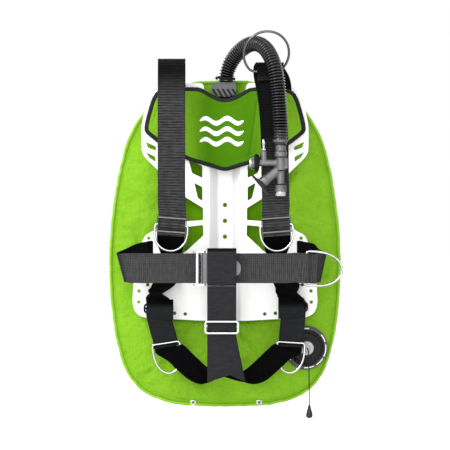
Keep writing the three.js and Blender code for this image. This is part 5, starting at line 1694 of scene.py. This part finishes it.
def wire_slide(at, down, half_w, half_h, radius, reach):
    """Wire frame in front of the webbing with a bar behind it."""
    across, r = (1, 0, 0), 4
    loop = []
    for sx, sz, start in ((1, 1, 0), (-1, 1, 90), (-1, -1, 180), (1, -1, 270)):
        for turn in np.radians([start, start + 30, start + 60, start + 90]):
            x, z = sx * (half_w - r) + r * math.cos(turn), sz * (half_h - r) + r * math.sin(turn)
            loop.append(np.array([x, -reach, z]))
    line = placed(evenly(loop, 3, int), at, across, down)
    shape = sweep(Shape(), line, circle(radius, 16), facing(across, down), closed=True)
    rod(shape, *placed([(-half_w, reach, 0), (half_w, reach, 0)], at, across, down), radius)
    for x in (-half_w, half_w):
        rod(shape, *placed([(x, -reach, 0), (x, reach + radius * 0.7, 0)], at, across, down), radius)
    return shape


def hip_hardware():
    """D-ring and slide on each hip strap."""
    for key, (at, across, down) in HIP.items():
        line = placed(d_ring_line(HIP_RING["half"], HIP_RING["depth"]), at, across, down)
        ring_piece(f"{key}_hip_d", line, HIP_RING["wire"], f"{key}_hip_ring", f"{key}_hip_d_ring",
                   facing(across, down))
        shape = wire_slide(HIP_SLIDE[key], (0, 0, -1), 25.4, 7.5, 1.8, 3.6)
        piece(f"{key}_hip_buckle", shape, "black_plastic", replaces=[f"{key}_hip_slide"], sharp=60)


def waist_hardware():
    """Waist ring, belt buckle with its flap, and the slide on the crotch strap."""
    at = (WAIST_RING["x"], BELT["y"] - 1.4, BELT["z"])
    line = placed(d_ring_line(WAIST_RING["half"], WAIST_RING["depth"]), at, (-0.06, 0, -1), (1, 0, -0.06))
    ring_piece("waist_d", line, WAIST_RING["wire"], "waist_ring", "waist_d_ring", (0, 1, 0))
    top, bottom = BELT["z"] + 28.5, BELT["z"] - 28.5
    ear = rounded([(-58, -116), (-53, -119.5), (-37, -121), (-34.5, -118), (-36, -106), (-55, -108.5)], 3)
    buckle = Shape()
    for z in (bottom - 3, top):
        buckle.loft([[(x, y, h) for x, y in ear] for h in (z, z + 3)])
    x = BELT["buckle_x"]
    rod(buckle, (x, -113, bottom - 2), (x, -113, top + 2), 3.9, 28)
    rod(buckle, (-38, -107.5, bottom - 2), (-38, -107.5, top + 2), 2)
    soften(piece("buckle_body", buckle, "buckle_steel", slot="steel", replaces=["buckle_frame"]), 0.6, 3)
    flap()
    piece("crotch_buckle", wire_slide(SLIDE_AT, SLIDE_DOWN, 29.6, 10.8, 2, 3.8), "bright_steel",
          "crotch_adjuster", slot="steel", replaces=["crotch_slide"], sharp=60)


def flap():
    """Pressed buckle flap: rolled hinge, stiffening rib and round tip."""
    x0, x1, tall, tip, z = -41.5, 29, 26.5, 14, BELT["z"]
    turns = np.linspace(0, math.pi, 17)
    nose = [(x1 - tip * 0.7 + tip * 0.7 * math.sin(t), z + tip * math.cos(t)) for t in turns]
    outline = [(x0, z + tall), (-10, z + tall - 2), *nose, (-10, z - tall + 2), (x0, z - tall)]
    shape = slab(rounded(outline, 2, 3), -119.6, -117.8)
    rod(shape, (x0, -118.7, z - 28.1), (x0, -118.7, z + 28.1), 1.5)
    turned(shape, [[1.2, -24], [2.1, -24], [2.1, 24], [1.2, 24]], (x0, -118.7, z), (0, 0, 1), 24, closed=True)
    soften(piece("buckle_plate", shape, "flap_steel", "flap", slot="steel", replaces=["buckle_flap"]), 0.5, 2)


def hose_ring():
    """Large ring round the hose, leaning back from its patch."""
    half, r, rise, wire = HOSE_RING_SIZE.values()
    start = math.asin(-rise / r) + 0.12
    bow = [(r * math.cos(t), 0, rise + r * math.sin(t)) for t in np.linspace(start, math.pi - start, 60)]
    local = [(-half + 4, 0, 0), (-8, 0, 0), (8, 0, 0), (half - 4, 0, 0)] + bow
    down = (0, math.sin(math.radians(HOSE_RING_LEAN)), -1)
    line = placed(local, HOSE_RING_AT, HOSE_RING_ACROSS, down)
    ring_piece("shoulder_steel_ring", line, wire, "shoulder_ring", "hose_ring",
               facing(HOSE_RING_ACROSS, down), "dark_steel")


# ------------------------------------------------------------------ assembly
make_stage()
hose, hose_path = corrugated_hose()
dump_cord, cord_path = pull_cord()
knob = pull_knob()
on_hose = inflator()

cover("front_cover", True, "wing_front_shell")
cover("back_cover", False, "wing_back_shell")
bladder()
wing_trim()
centre_panel()
tank_pad()
bladder_zip()
grommets()
dump_valve()
backplate()
back_pad()
hose_tab()
harness()
chest_hardware()
hip_hardware()
waist_hardware()
hose_ring()
